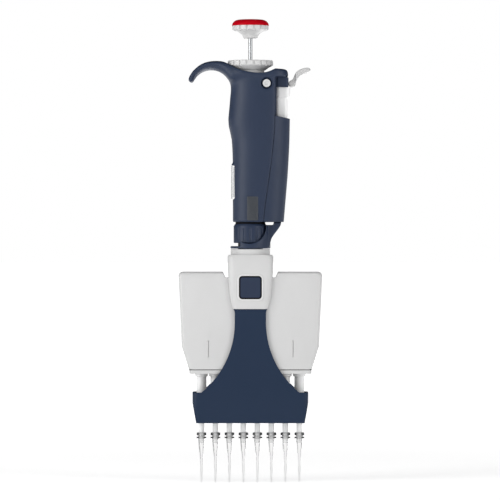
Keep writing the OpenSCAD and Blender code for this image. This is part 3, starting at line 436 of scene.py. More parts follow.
class Finish(Enum):
    """Finishes of the pipette's pieces, each with its slot in the record."""

    NAVY = ("navy_plastic", MouldedPlastic(
        "grip_navy", (0.012, 0.022, 0.049), (0.013, 0.023, 0.051), (0.05, 0.065, 0.11), 0.47, 0.3))
    COMB_NAVY = ("navy_plastic", MouldedPlastic(
        "comb_navy", (0.01, 0.022, 0.049), (0.0105, 0.0225, 0.05), (0.03, 0.045, 0.09), 0.46, 0.18))
    # The light edge colour of the white plastic is mostly a painted highlight along its edges, with
    # some wear.
    WHITE = ("white_plastic", MouldedPlastic(
        "body_white", grey(0.53), grey(0.52), grey(0.74), 0.40, 0.4))
    PADDLE_GREY = ("white_plastic", MouldedPlastic(
        "paddle_grey", grey(0.45), grey(0.43), grey(0.55), 0.42, 0.35))
    # Lighter copy of the white plastic: painted light that lifts the shade on the nozzles and the
    # ejector tube.
    LIT_WHITE = ("white_plastic", MouldedPlastic(
        "lit_white", grey(0.80), grey(0.78), grey(0.86), 0.34, 0.5))
    # Lighter copy of the white plastic: a painted highlight on the release bezel and the slot ribs.
    BEZEL_WHITE = ("white_plastic", MouldedPlastic(
        "bezel_white", grey(0.63), grey(0.62), grey(0.72), 0.38, 0.4))
    RED = ("red_plastic", MouldedPlastic(
        "cap_red", (0.40, 0.0005, 0.007), (0.38, 0.0005, 0.006), (0.42, 0.004, 0.01), 0.30, 0.05))
    BLACK = ("black_plastic", MouldedPlastic(
        "inner_black", (0.012, 0.012, 0.013), (0.018, 0.018, 0.019), grey(0.05), 0.5, 0.4))
    PANEL = ("navy_plastic", MouldedPlastic(
        "panel_grey", (0.042, 0.047, 0.056), (0.038, 0.043, 0.052), (0.07, 0.075, 0.08), 0.5, 0.3))
    # Dark grey on the tips' rims: painted shade for the refraction.
    TIP = ("clear_plastic", TipPlastic("tip_clear", (0.055, 0.057, 0.06), 0.012, 1.0, 1.9))
    # Grey on the window's rims: painted shade for the refraction.
    WINDOW = ("clear_plastic", ClearPlastic("window_clear", (0.55, 0.57, 0.59), 0.05, 0.8, 2.4, 0.06))
    STEEL = ("steel", TurnedMetal("ground_steel", (0.40, 0.41, 0.42), 0.24))
    ALUMINIUM = ("aluminium", TurnedMetal("turned_aluminium", (0.78, 0.79, 0.80), 0.34))
    BRASS = ("brass", TurnedMetal("turned_brass", (0.72, 0.53, 0.25), 0.30))
    # Rubber of the piston seals, also painted shade in the seam ring under the housing.
    RUBBER = ("seal_rubber", SealRubber("seal_rubber", (0.010, 0.010, 0.011), (0.03, 0.03, 0.031)))
    # Black ink of the digits, also painted shade in the nose ring and the frame round the release
    # button.
    INK_AND_SHADE = ("black_plastic", SealRubber("ink_and_shade_black", (0.002, 0.002, 0.003), (0.005, 0.005, 0.006)))

    def material(self) -> Material:
        """Gives the finish's material, made once."""
        recipe = self.value[1]
        return bpy.data.materials.get(recipe.name) or recipe.material()

    def put_on(self, piece: Piece) -> None:
        """Gives a piece this finish alone."""
        piece.data.materials.clear()
        piece.data.materials.append(self.material())


class Shading:
    """Smooth shading that keeps the edges of a solid sharp."""

    @staticmethod
    def tree(limit: float) -> bpy.types.NodeTree:
        """Makes the node group of the shading.

        Args:
            limit: angle in degrees above which an edge stays sharp.

        Returns:
            The node group, made once for each angle.
        """
        name = f"shade_{limit:.0f}"
        if name in bpy.data.node_groups:
            return bpy.data.node_groups[name]
        tree = bpy.data.node_groups.new(name, "GeometryNodeTree")
        for side in ("INPUT", "OUTPUT"):
            tree.interface.new_socket("Geometry", in_out=side, socket_type="NodeSocketGeometry")
        kinds = (
            "NodeGroupInput", "GeometryNodeRemoveAttribute", "GeometryNodeMergeByDistance",
            "GeometryNodeSetShadeSmooth", "GeometryNodeSetShadeSmooth", "NodeGroupOutput",
        )
        chain = [tree.nodes.new(kind) for kind in kinds]
        _, bare, weld, _, sharp, _ = chain
        angle = tree.nodes.new("GeometryNodeInputMeshEdgeAngle")
        over = tree.nodes.new("FunctionNodeCompare")
        bare.inputs["Name"].default_value = "custom_normal"
        weld.inputs["Distance"].default_value = WELD
        sharp.domain = "EDGE"
        sharp.inputs["Shade Smooth"].default_value = False
        over.operation = "GREATER_THAN"
        over.inputs[1].default_value = math.radians(limit)
        for first, second in zip(chain, chain[1:]):
            tree.links.new(first.outputs[0], second.inputs[0])
        tree.links.new(angle.outputs[0], over.inputs[0])
        tree.links.new(over.outputs[0], sharp.inputs["Selection"])
        return tree

    @classmethod
    def apply(cls, piece: Piece, limit: float) -> None:
        """Adds the shading to a piece as a modifier."""
        piece.modifiers.new("shading", "NODES").node_group = cls.tree(limit)


def turn_out(mesh: Mesh) -> None:
    """Turns the faces of a closed mesh outwards.

    Args:
        mesh: the mesh, whose faces all point the same way.
    """
    made = bmesh.new()
    made.from_mesh(mesh)
    if made.calc_volume(signed=True) < 0:
        mesh.flip_normals()
    made.free()


def stand(name: str, data: bpy.types.ID) -> Piece:
    """Puts a new object into the scene.

    Args:
        name: name of the object.
        data: its mesh, text, light or camera.

    Returns:
        The object.
    """
    piece = bpy.data.objects.new(name, data)
    bpy.context.scene.collection.objects.link(piece)
    return piece


def take_mesh(carrier: Piece) -> Mesh:
    """Takes the mesh that an object shows, and removes the object.

    Args:
        carrier: the object.

    Returns:
        The mesh.
    """
    shape = carrier.evaluated_get(bpy.context.evaluated_depsgraph_get())
    mesh = bpy.data.meshes.new_from_object(shape)
    bpy.data.objects.remove(carrier)
    return mesh


def add_piece(name: str, mesh: Mesh, body: str, finish: Finish, limit: float = SHARP_ANGLE) -> Piece:
    """Puts a new piece on a body.

    Args:
        name: name of the piece.
        mesh: its mesh, in the frame of the solids.
        body: body that it rides on.
        finish: its finish.
        limit: angle in degrees above which its edges stay sharp.

    Returns:
        The piece.
    """
    mesh.name = name
    turn_out(mesh)
    piece = stand(name, mesh)
    finish.put_on(piece)
    Shading.apply(piece, limit)
    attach(piece, body)
    log.info("%s on %s: %d faces", name, body, len(mesh.polygons))
    return piece


def mesh_of(points: np.ndarray, faces: Sequence[Sequence[int]]) -> Mesh:
    """Makes a mesh.

    Args:
        points: its points, one a row.
        faces: its faces, as numbers of points.

    Returns:
        The mesh.
    """
    mesh = bpy.data.meshes.new("mesh")
    mesh.from_pydata(points.tolist(), [], faces)
    mesh.update()
    return mesh


def loft(*skins: Sequence[Any], ring: bool = False) -> Mesh:
    """Makes a mesh of closed skins, each joined from rows of points.

    Args:
        skins: rows of each skin; each row is a closed loop of points.
        ring: the last row joins the first, in place of end faces.

    Returns:
        The mesh.
    """
    points, faces, start = [], [], 0
    for rows in skins:
        count, width = len(rows), len(rows[0])
        for i in range(count if ring else count - 1):
            low, high = start + i * width, start + (i + 1) % count * width
            for j in range(width):
                k = (j + 1) % width
                faces.append([low + j, low + k, high + k, high + j])
        points.append(np.reshape(rows, (-1, 3)))
        end = start + count * width
        if not ring:
            faces.append(list(range(start, start + width))[::-1])
            faces.append(list(range(end - width, end)))
        start = end
    return mesh_of(np.concatenate(points), faces)


def rounded_loop(half_x: float, half_z: float, corner: float, steps: int = 6) -> np.ndarray:
    """Gives a rectangle with round corners.

    Args:
        half_x: half width.
        half_z: half height.
        corner: radius of the corners.
        steps: segments of each corner.

    Returns:
        The points as two columns, in order round the loop.
    """
    turns = np.linspace(0.0, math.pi / 2, steps + 1)
    points = []
    for quarter, (sx, sz) in enumerate(((1, 1), (-1, 1), (-1, -1), (1, -1))):
        angles = turns + quarter * math.pi / 2
        points.append(np.column_stack((
            sx * (half_x - corner) + corner * np.cos(angles),
            sz * (half_z - corner) + corner * np.sin(angles),
        )))
    return np.concatenate(points)


def layer(loop: np.ndarray, axis: int, place: Triple) -> np.ndarray:
    """Puts a flat loop square to an axis (0 to 2) at a place."""
    return np.insert(loop, axis, 0.0, axis=1) + place


@dataclass
class EvenSkin:
    """Skin of some solids on an even grid, its edges eased as a mould eases them."""

    nodes: tuple[str, ...]
    passes: int
    cell: float = 0.3 * MM
    seam: bool = False
    seam_gap: float = 0.003 * MM
    step: float = 0.5

    def gather(self) -> Mesh:
        """Joins the solids into one skin, without the faces in which halves meet.

        Returns:
            The mesh.
        """
        made = bmesh.new()
        for node in self.nodes:
            made.from_mesh(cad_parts[node].data)
        bmesh.ops.remove_doubles(made, verts=made.verts[:], dist=WELD)
        if self.seam:
            meeting = [f for f in made.faces if all(abs(v.co.y) < self.seam_gap for v in f.verts)]
            bmesh.ops.delete(made, geom=meeting, context="FACES")
        mesh = bpy.data.meshes.new("skin")
        made.to_mesh(mesh)
        made.free()
        return mesh

    def ease(self, mesh: Mesh, weight: Weight | None) -> None:
        """Smooths the skin.

        Args:
            mesh: the skin.
            weight: share of the smoothing at some points, or None for all of it.
        """
        points = np.array([vertex.co for vertex in mesh.vertices])
        first, second = np.array([edge.vertices[:] for edge in mesh.edges]).T
        count = len(points)
        degree = np.bincount(first, minlength=count) + np.bincount(second, minlength=count)
        share = np.full(count, self.step) if weight is None else self.step * weight(points)
        for _ in range(self.passes):
            for axis in range(3):
                column = points[:, axis]
                total = np.bincount(first, column[second], count)
                total += np.bincount(second, column[first], count)
                points[:, axis] = column + share * (total / np.maximum(degree, 1) - column)
        mesh.vertices.foreach_set("co", points.ravel())
        mesh.update()

    def make(self, weight: Weight | None = None) -> Mesh:
        """Makes the even, eased skin.

        Args:
            weight: share of the smoothing at some points, or None for all of it.

        Returns:
            The mesh.
        """
        carrier = stand("skin", self.gather())
        grid = carrier.modifiers.new("grid", "REMESH")
        grid.mode = "VOXEL"
        grid.voxel_size = self.cell
        mesh = take_mesh(carrier)
        self.ease(mesh, weight)
        return mesh


class Side(Enum):
    """Halves of the pipette that meet in the plane Y = 0."""

    FRONT = -1
    BACK = 1

    def cut(self, mesh: Mesh) -> Mesh:
        """Keeps one half of a skin.

        Args:
            mesh: the whole skin.

        Returns:
            The half, closed where it was cut.
        """
        made = bmesh.new()
        made.from_mesh(mesh)
        geometry = made.verts[:] + made.edges[:] + made.faces[:]
        bmesh.ops.bisect_plane(
            made, geom=geometry, plane_co=(0.0, 0.0, 0.0), plane_no=(0.0, -float(self.value), 0.0),
            clear_outer=True,
        )
        rim = [e for e in made.edges if e.is_boundary]
        bmesh.ops.triangle_fill(made, edges=rim, use_beauty=True)
        bmesh.ops.recalc_face_normals(made, faces=made.faces[:])
        half = bpy.data.meshes.new("half")
        made.to_mesh(half)
        made.free()
        return half


@dataclass
class Coil:
    """Compression spring with closed ends, in place of a plain coil of the solids."""

    node: str
    body: str
    joint: str
    wire: float
    turns: float
    travel: float
    axis: int = 2
    anchor_low: bool = True
    steps: int = 40
    around: int = 10
    closed_turns: float = 1.1
    closed_pitch: float = 0.95

    def build(self) -> None:
        """Winds the wire between the ends of the coil it replaces."""
        low, high = (np.array(corner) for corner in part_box(self.node))
        middle = (low + high) / 2
        others = [i for i in range(3) if i != self.axis]
        radius = (high - low)[others].min() / 2 - self.wire / 2
        length = (high - low)[self.axis] - self.wire
        count = int(self.turns * self.steps)
        share = np.linspace(0.0, 1.0, count)
        closed = self.closed_turns / self.turns
        inner = np.clip((share - closed) / (1 - 2 * closed), 0.0, 1.0)
        end = self.closed_pitch * self.wire / length
        rise = np.minimum(share / closed, 1.0) * end + inner * (1 - 2 * end)
        rise += np.clip((share - 1 + closed) / closed, 0.0, 1.0) * end
        angle = share * self.turns * 2 * math.pi
        turn = np.linspace(0.0, 2 * math.pi, self.around, endpoint=False)
        reach = radius + self.wire / 2 * np.cos(turn)
        level = low[self.axis] + self.wire / 2 + rise * length
        rows = np.empty((count, self.around, 3))
        rows[..., others[0]] = middle[others[0]] + np.outer(np.cos(angle), reach)
        rows[..., others[1]] = middle[others[1]] + np.outer(np.sin(angle), reach)
        rows[..., self.axis] = np.add.outer(level, self.wire / 2 * np.sin(turn))
        piece = add_piece(self.node + "_coil", loft(rows), self.body, Finish.STEEL, limit=60.0)
        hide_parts(self.node)
        anchor = middle.copy()
        anchor[self.axis] = low[self.axis] if self.anchor_low else high[self.axis]
        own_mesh(piece)


class SubAssembly:
    """Pieces that are built and dressed together."""

    def paint(self, finish: Finish, *nodes: str) -> None:
        """Dresses solids that show as they are.

        Args:
            finish: their finish.
            nodes: names of the solids.
        """
        for node in nodes:
            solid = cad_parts[node]
            finish.put_on(solid)
            Shading.apply(solid, SHARP_ANGLE)
            log.info("%s in %s", node, finish.name.lower())

    def recast(self, node: str, body: str, finish: Finish, passes: int) -> None:
        """Replaces a solid by its own even skin.

        Args:
            node: name of the solid.
            body: body that it rides on.
            finish: finish of the skin.
            passes: how often the skin is smoothed.
        """
        mesh = EvenSkin((node,), passes).make()
        piece = add_piece(node + "_skin", mesh, body, finish, limit=50.0)
        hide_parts(node)

    def build(self) -> None:
        """Builds and dresses the pieces."""
        raise NotImplementedError


@dataclass
class HandleGrip(SubAssembly):
    """Half shells with the finger hook, rear cover, window, label panel, rails, and a dark ring of
    painted shade under the handle's foot.
    """

    cell: float = 0.5 * MM
    passes: int = 110
    share: float = 0.03
    root: Triple = (-11.0 * MM, 0.0, 259.0 * MM)
    root_reach: float = 13.5 * MM
    root_stretch: Triple = (1.0, 0.5, 1.0)
    root_gain: float = 1.6
    hook_share: float = 0.7
    hook_low: float = 246.0 * MM
    hook_ramp: float = 4.0 * MM
    hook_tip: float = -38.5 * MM
    hook_axis: tuple[float, float] = (-25.1 * MM, 252.7 * MM)
    hook_hollow: float = 12.6 * MM
    hook_band: float = 1.4
    hook_drop: float = 8.0 * MM
    # Round the hollow: degrees, thickness and half width in mm, crown's share of the thickness
    hook_stations: tuple[tuple[float, ...], ...] = (
        (20.0, 10.0, 12.0, 0.0), (50.0, 9.2, 10.4, 0.15), (75.0, 6.7, 7.9, 0.42),
        (90.0, 6.0, 7.0, 0.52), (120.0, 5.0, 6.0, 0.55), (145.0, 4.1, 5.4, 0.50),
        (154.0, 3.6, 5.0, 0.15), (158.0, 3.2, 4.0, 0.0),
    )
    panel_x: float = 1.4 * MM
    panel_rise: float = 8.6 * MM
    panel_floor: float = -11.9 * MM
    panel_half_w: float = 3.5 * MM
    panel_half_h: float = 7.7 * MM
    panel_corner: float = 0.7 * MM
    # Height of each layer over the panel's floor in mm, and the share of its outline
    panel_section: Pairs = ((0.0, 1.0), (0.10, 1.0), (0.16, 1.0 - 0.06 * MM / panel_half_w))
    rib_section: Pairs = ((0.12, 1.0), (0.24, 0.97))
    ribs: int = 24
    rib_margin: float = 0.6 * MM
    rib_inset: float = 0.5 * MM
    rib_fill: float = 0.3
    rib_round: float = 0.25
    lip_clear: float = 4.0 * MM
    lip_slack: float = 0.25 * MM
    lip_sink: float = 0.08 * MM
    lip_half: float = 1.2 * MM
    lip_depth: float = 0.5 * MM
    lip_stop: float = 2.5 * MM
    rail_y: float = 9.0 * MM
    rail_half: float = 0.65 * MM
    rail_depth: float = 0.4 * MM
    rail_over: float = 0.15 * MM
    rail_sink: float = 5.5 * MM
    rail_end: float = 2.0 * MM
    rail_taper: float = 0.6
    shade_ring_inset: float = 1.2 * MM
    shade_ring_wall: float = 2.5 * MM
    shade_ring_lap: float = 0.2 * MM
    shade_ring_steps: int = 72

    def easing(self, points: np.ndarray) -> np.ndarray:
        """Smooths most where the hook grows out of the grip, and rounds the hook's edges.

        Args:
            points: points of the skin.

        Returns:
            Share of the smoothing at each point.
        """
        far = np.linalg.norm((points - np.array(self.root)) * self.root_stretch, axis=1)
        root = np.clip(self.root_gain * (1.0 - far / self.root_reach), 0.0, 1.0)
        out = np.clip((self.root[0] - points[:, 0]) / self.hook_ramp, 0.0, 1.0)
        up = np.clip((points[:, 2] - self.hook_low) / self.hook_ramp, 0.0, 1.0)
        tip = np.clip((points[:, 0] - self.hook_tip) / self.hook_ramp, 0.0, 1.0)
        soft = np.maximum(root, self.hook_share * out * up * tip)
        return self.share + (1.0 - self.share) * soft

    def crown(self, skin: Mesh) -> None:
        """Crowns the hook's hollow across its width, so that a finger rolls on it.

        Args:
            skin: skin of the whole handle.
        """
        points = np.array([vertex.co for vertex in skin.vertices])
        across, up = points[:, 0] - self.hook_axis[0], points[:, 2] - self.hook_axis[1]
        reach = np.hypot(across, up)
        angle = np.degrees(np.arctan2(up, across))
        at, thick_at, half_at, share_at = np.array(self.hook_stations).T
        thick = np.interp(angle, at, thick_at) * MM
        half = np.interp(angle, at, half_at) * MM
        height = np.clip((reach - self.hook_hollow) / thick, 0.0, 1.0)
        bow = np.minimum(np.abs(points[:, 1]) / half, 1.0) ** 2
        lift = np.interp(angle, at, share_at) * thick * bow * (1.0 - height)
        near = (reach < self.hook_hollow + self.hook_band * thick) & (up > -self.hook_drop)
        lift = np.where(near, lift, 0.0)
        points[:, 0] += lift * across / reach
        points[:, 2] += lift * up / reach
        skin.vertices.foreach_set("co", points.ravel())
        skin.update()

    def shells(self) -> None:
        """Casts both half shells from one skin, so that they meet in a fine line."""
        nodes = ("handle_shell_front", "handle_shell_back")
        skin = EvenSkin(nodes, self.passes, self.cell, seam=True).make(self.easing)
        self.crown(skin)
        for side, node in zip(Side, nodes):
            piece = add_piece(node + "_skin", side.cut(skin), "handle", Finish.NAVY, limit=50.0)
            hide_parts(node)

    def panel(self) -> None:
        """Lays the finely ribbed panel into its recess in the front shell."""
        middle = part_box("handle_shell_front")[0].z + self.panel_rise
        step = 2 * (self.panel_half_h - self.rib_margin) / self.ribs
        first = middle - self.panel_half_h + self.rib_margin + step / 2
        plate = rounded_loop(self.panel_half_w, self.panel_half_h, self.panel_corner)
        bar = rounded_loop(
            self.panel_half_w - self.rib_inset, step * self.rib_fill, step * self.rib_round, steps=3
        )
        forms = [(plate, middle, self.panel_section)]
        forms += [(bar, first + i * step, self.rib_section) for i in range(self.ribs)]
        skins = [
            [
                layer(size * loop, 1, (self.panel_x, self.panel_floor - height * MM, level))
                for height, size in section
            ]
            for loop, level, section in forms
        ]
        add_piece("label_panel", loft(*skins), "handle", Finish.PANEL, limit=40.0)

    def lip(self, side: Side) -> None:
        """Adds the lip inside the handle on which one edge of the rear cover sits.

        Args:
            side: side of the handle.
        """
        seam: dict[float, Vector] = {}
        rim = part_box("rear_cover")[1].z - self.lip_stop
        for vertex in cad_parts["rear_cover"].data.vertices:
            level = round(vertex.co.z, 5)
            if vertex.co.y * side.value > self.lip_clear and level < rim:
                edge = seam.get(level)
                if edge is None or vertex.co.x < edge.x - self.lip_slack:
                    seam[level] = vertex.co
                elif vertex.co.x < edge.x + self.lip_slack and abs(vertex.co.y) < abs(edge.y):
                    seam[level] = vertex.co
        rows = []
        for level in sorted(seam):
            x, y = seam[level].x, seam[level].y - side.value * self.lip_sink
            rows.append([
                (x + across * self.lip_half, y - side.value * depth * self.lip_depth, level)
                for across, depth in ((-1, 0), (1, 0), (1, 1), (-1, 1))
            ])
        points = np.array(rows)
        points[0, :, 2] += self.lip_slack
        add_piece(f"cover_lip_{side.name.lower()}", loft(points), "handle", Finish.BLACK)

    def rails(self, side: Side) -> None:
        """Adds the rail beside and above the ejector's head block, which closes its gaps.

        Args:
            side: side of the handle.
        """
        block_low, block_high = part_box("ejector_head")
        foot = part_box("rear_cover")[1].z - self.rail_sink
        edge = block_low.x + self.rail_over - self.rail_half
        top = block_high.z + self.rail_half - self.rail_over
        end = block_high.x - self.rail_end
        y = side.value * self.rail_y
        loop = rounded_loop(self.rail_half, self.rail_depth, self.rail_depth / 2, steps=3)
        turned = np.column_stack((loop[:, 1], -loop[:, 0]))
        upright = ((foot, self.rail_taper), (foot + self.rail_depth, 1.0), (top, 1.0))
        lintel = (
            (edge + self.rail_half, 1.0), (end - self.rail_depth, 1.0), (end, self.rail_taper),
        )
        rows = [layer(size * loop, 2, (edge, y, level)) for level, size in upright]
        rows += [layer(size * turned, 0, (along, y, top)) for along, size in lintel]
        add_piece(f"channel_rail_{side.name.lower()}", loft(rows), "handle", Finish.NAVY)

    def nose_shade_ring(self) -> None:
        """Lays a dark ring of painted shade in the gap between the handle's foot and the coupling
        nut.
        """
        low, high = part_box("coupling_nut")
        middle = (low + high) / 2
        outer = (high.x - low.x) / 2 - self.shade_ring_inset
        inner = outer - self.shade_ring_wall
        bottom, top = high.z - self.shade_ring_lap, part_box("handle_shell_front")[0].z + self.shade_ring_lap
        turns = np.linspace(0.0, 2 * math.pi, self.shade_ring_steps, endpoint=False)
        circle = np.column_stack((np.cos(turns), np.sin(turns)))
        corners = ((inner, bottom), (outer, bottom), (outer, top), (inner, top))
        rows = [layer(reach * circle, 2, (middle.x, middle.y, level)) for reach, level in corners]
        add_piece("nose_shade_ring", loft(rows, ring=True), "handle", Finish.INK_AND_SHADE)

    def build(self) -> None:
        """Builds and dresses the handle's fixed pieces."""
        self.shells()
        self.panel()
        self.nose_shade_ring()
        for side in Side:
            self.lip(side)
            self.rails(side)
        self.paint(Finish.NAVY, "rear_cover", "coupling_nut")
        self.paint(Finish.WINDOW, "counter_window")
        self.paint(Finish.BLACK, "guide_sleeve", "nose_spigot")


class Counter(Enum):
    """Counter drums: the solid, its body, and the digit in the window at rest."""

    TENS = ("drum_tens", "counter_tens", 0)
    UNITS = ("drum_units", "counter_units", 5)
    TENTHS = ("drum_tenths", "counter_tenths", 0)


@dataclass
class VolumeSetting(SubAssembly):
    """Thumbwheel, screw, nut, lock bolt and the counter with its digits."""

    numerals: int = 10
    digit_height: float = 4.3 * MM
    digit_depth: float = 0.10 * MM
    proud: float = 0.05 * MM
    font_share: float = 0.7

    def digits(self, drum: Counter) -> None:
        """Wraps the ten digits round a drum.

        Args:
            drum: the drum; its digit at rest stands in the window on the -X side.
        """
        node, body, reading = drum.value
        low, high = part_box(node)
        centre = (low + high) / 2
        radius = (high.x - low.x) / 2
        points: list[np.ndarray] = []
        faces: list[list[int]] = []
        for digit in range(self.numerals):
            text = bpy.data.curves.new("digit", "FONT")
            text.body = str(digit)
            text.size = self.digit_height / self.font_share
            text.align_x, text.align_y = "CENTER", "CENTER"
            text.extrude = self.digit_depth / 2
            text.resolution_u = 4
            mesh = take_mesh(stand("digit", text))
            flat = np.array([v.co for v in mesh.vertices])
            flat[:, 1] -= (flat[:, 1].min() + flat[:, 1].max()) / 2
            turn = math.pi - (digit - reading) * 2 * math.pi / self.numerals + flat[:, 0] / radius
            reach = radius + self.proud - self.digit_depth / 2 + flat[:, 2]
            start = sum(len(p) for p in points)
            wrapped = np.column_stack((reach * np.cos(turn), reach * np.sin(turn), flat[:, 1]))
            points.append(wrapped + centre)
            faces += [[start + k for k in face.vertices] for face in mesh.polygons]
            bpy.data.curves.remove(text)
        mesh = mesh_of(np.concatenate(points), faces)
        add_piece(node + "_digits", mesh, body, Finish.INK_AND_SHADE, limit=30.0)

    def build(self) -> None:
        """Builds the digits and dresses the setting's pieces."""
        for drum in Counter:
            self.digits(drum)
            self.paint(Finish.WHITE, drum.value[0])
        self.paint(Finish.WHITE, "thumbwheel", "lock_bolt")
        self.paint(Finish.BRASS, "volume_screw")
        self.paint(Finish.BLACK, "volume_nut")


class PushButton(SubAssembly):
    """Red cap, ribbed button, rod and foot."""

    def build(self) -> None:
        """Dresses the push button's pieces."""
        self.paint(Finish.RED, "button_cap")
        self.paint(Finish.WHITE, "push_button")
        self.paint(Finish.STEEL, "push_rod")
        self.paint(Finish.BLACK, "rod_foot")


@dataclass
class EjectorSlide(SubAssembly):
    """Thumb paddle, head block, tube, rod, spring and arm of the tip ejector on the handle."""

    paddle_passes: int = 10
    arm_passes: int = 6
    head_passes: int = 4

    def build(self) -> None:
        """Builds and dresses the slide's pieces."""
        self.recast("ejector_paddle", "ejector", Finish.PADDLE_GREY, self.paddle_passes)
        self.recast("ejector_arm", "ejector", Finish.NAVY, self.arm_passes)
        self.recast("ejector_head", "ejector", Finish.NAVY, self.head_passes)
        # Painted light: the tube is lighter than the white plastic, to lift its shade beside the
        # handle.
        self.paint(Finish.LIT_WHITE, "ejector_tube")
        self.paint(Finish.STEEL, "ejector_rod")
        Coil(
            "ejector_spring", "handle", "ejector_press", wire=0.6 * MM, turns=11.0, travel=10.0 * MM
        ).build()


@dataclass
class Head(SubAssembly):
    """Housing halves, plate, stem, nozzles and the piston drive inside them."""

    nozzles: int = CHANNELS
    # Corners of the section of the dark seam ring of painted shade, in mm, outwards from the plate's
    # edge and up from its top
    seam_shade_section: Pairs = ((-0.6, -0.45), (0.12, -0.45), (0.12, 0.1), (-0.6, 0.1))
    seam_shade_corner: float = 0.8 * MM
    rib_inset: float = 4.4 * MM
    rib_shift: float = -0.26 * MM
    rib_foot: float = 8.1 * MM
    rib_height: float = 10.3 * MM
    rib_half: float = 0.24 * MM
    rib_round: float = 0.8
    # Height of each layer of a rib over the housing's face in mm, and the share of its width
    rib_section: Pairs = ((-0.58, 1.0), (0.04, 1.0), (0.10, 0.8))

    def slot_ribs(self, side: Side) -> None:
        """Sets a slim rib into the slot on each lobe of the housing.

        Args:
            side: side of the housing.
        """
        low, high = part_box(f"housing_{side.name.lower()}")
        face = max(-low.y, high.y)
        middle = low.z + self.rib_foot + self.rib_height / 2
        corner = self.rib_round * self.rib_half
        loop = rounded_loop(self.rib_half, self.rib_height / 2, corner, steps=3)
        for end, name in ((1, "left"), (self.nozzles, "right")):
            nozzle_low, nozzle_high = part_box(f"nozzle_{end}")
            nozzle_x = (nozzle_low.x + nozzle_high.x) / 2
            x = nozzle_x - math.copysign(self.rib_inset, nozzle_x) + self.rib_shift
            rows = [
                layer(loop * (width, 1.0), 1, (x, side.value * (face + proud * MM), middle))
                for proud, width in self.rib_section
            ]
            rib = f"slot_rib_{side.name.lower()}_{name}"
            # The rib is lighter than the housing: a painted highlight along the slot.
            add_piece(rib, loft(rows), "head", Finish.BEZEL_WHITE)

    def seam_shade(self) -> None:
        """Lays a thin dark ring of painted shade in the seam between the housing's foot and the
        nozzle plate.
        """
        low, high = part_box("nozzle_plate")
        middle = (low + high) / 2
        half = (high - low) / 2
        rows = []
        for grow, level in self.seam_shade_section:
            loop = rounded_loop(half.x + grow * MM, half.y + grow * MM, self.seam_shade_corner)
            rows.append(layer(loop, 2, (middle.x, middle.y, high.z + level * MM)))
        add_piece("plate_seam_shade", loft(rows, ring=True), "head", Finish.RUBBER, limit=60.0)

    def build(self) -> None:
        """Builds and dresses the head's pieces."""
        self.seam_shade()
        for side in Side:
            self.slot_ribs(side)
        self.paint(Finish.WHITE, "housing_front", "housing_back", "nozzle_plate")
        # Painted light: the nozzles are lighter than the housing, to lift their shade behind the
        # comb.
        self.paint(Finish.LIT_WHITE, *(f"nozzle_{i + 1}" for i in range(self.nozzles)))
        self.paint(Finish.BLACK, "swivel_stem")
        self.paint(Finish.ALUMINIUM, "piston_crossbar")
        self.paint(Finish.STEEL, "guide_posts", "pistons", "drive_rod")
        self.paint(Finish.BRASS, "purge_washer")
        self.paint(Finish.RUBBER, "piston_seals")
        Coil(
            "return_spring", "blow_out_stop", "plunger_press", wire=0.8 * MM, turns=8.0,
            travel=10.5 * MM,
        ).build()
        Coil("purge_spring", "head", "blow_out", wire=0.9 * MM, turns=4.5, travel=3.5 * MM).build()


@dataclass
class TipEjector(SubAssembly):
    """Collar and comb that push the tips off, with the square release button."""

    bezel_width: float = 1.0 * MM
    bezel_proud: float = 0.3 * MM
    shade_rim_width: float = 1.0 * MM
    shade_rim_proud: float = 0.06 * MM
    shade_rim_gap: float = 0.02 * MM
    button_lip: float = 0.7 * MM
    button_corner: float = 2.25 * MM
    # Corners of a frame's section: share of its width from the inside, and depth in mm
    profile: Pairs = (
        (1.0, 0.81), (1.0, 0.27), (0.8, 0.0), (0.12, 0.0), (0.0, 0.09), (0.0, 0.81),
    )

    def surround(
        self, name: str, body: str, grow: float, width: float, front: float, finish: Finish
    ) -> None:
        """Lays a rounded frame round the face of the square button.

        Args:
            name: name of the piece.
            body: body that it rides on.
            grow: how far its inner edge lies outside the button's face.
            width: width of the frame.
            front: Y of its front.
            finish: its finish.
        """
        low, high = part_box("release_button")
        middle = (low + high) / 2
        half = (high - low) / 2
        rows = []
        for out, sink in self.profile:
            more = grow + out * width
            loop = rounded_loop(
                half.x - self.button_lip + more, half.z - self.button_lip + more,
                self.button_corner + more,
            )
            rows.append(layer(loop, 1, (middle.x, front + sink * MM, middle.z)))
        add_piece(name, loft(rows, ring=True), body, finish, limit=60.0)

    def build(self) -> None:
        """Builds and dresses the ejector's pieces."""
        collar_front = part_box("ejector_collar")[0].y
        button_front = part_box("release_button")[0].y
        # The bezel is lighter than the collar: a painted highlight round the release button.
        self.surround(
            "release_bezel", "tip_pusher", 0.0, self.bezel_width,
            collar_front - self.bezel_proud, Finish.BEZEL_WHITE,
        )
        # A dark frame on the button's face: painted shade for the gap round the button.
        self.surround(
            "release_shade_rim", "release", -self.shade_rim_width - self.shade_rim_gap, self.shade_rim_width,
            button_front - self.shade_rim_proud, Finish.INK_AND_SHADE,
        )
        self.paint(Finish.WHITE, "ejector_collar")
        self.paint(Finish.COMB_NAVY, "ejector_comb")
        self.paint(Finish.NAVY, "release_button")
        Coil(
            "release_spring", "tip_pusher", "comb_release", wire=0.4 * MM, turns=4.0,
            travel=1.5 * MM, axis=1, anchor_low=False,
        ).build()


@dataclass
class Tips(SubAssembly):
    """Disposable tips on the nozzles."""

    count: int = CHANNELS

    def build(self) -> None:
        """Dresses the tips, which are too clear to throw a shadow."""
        tips = [f"tip_{i + 1}" for i in range(self.count)]
        self.paint(Finish.TIP, *tips)
        for tip in tips:
            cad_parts[tip].visible_shadow = False


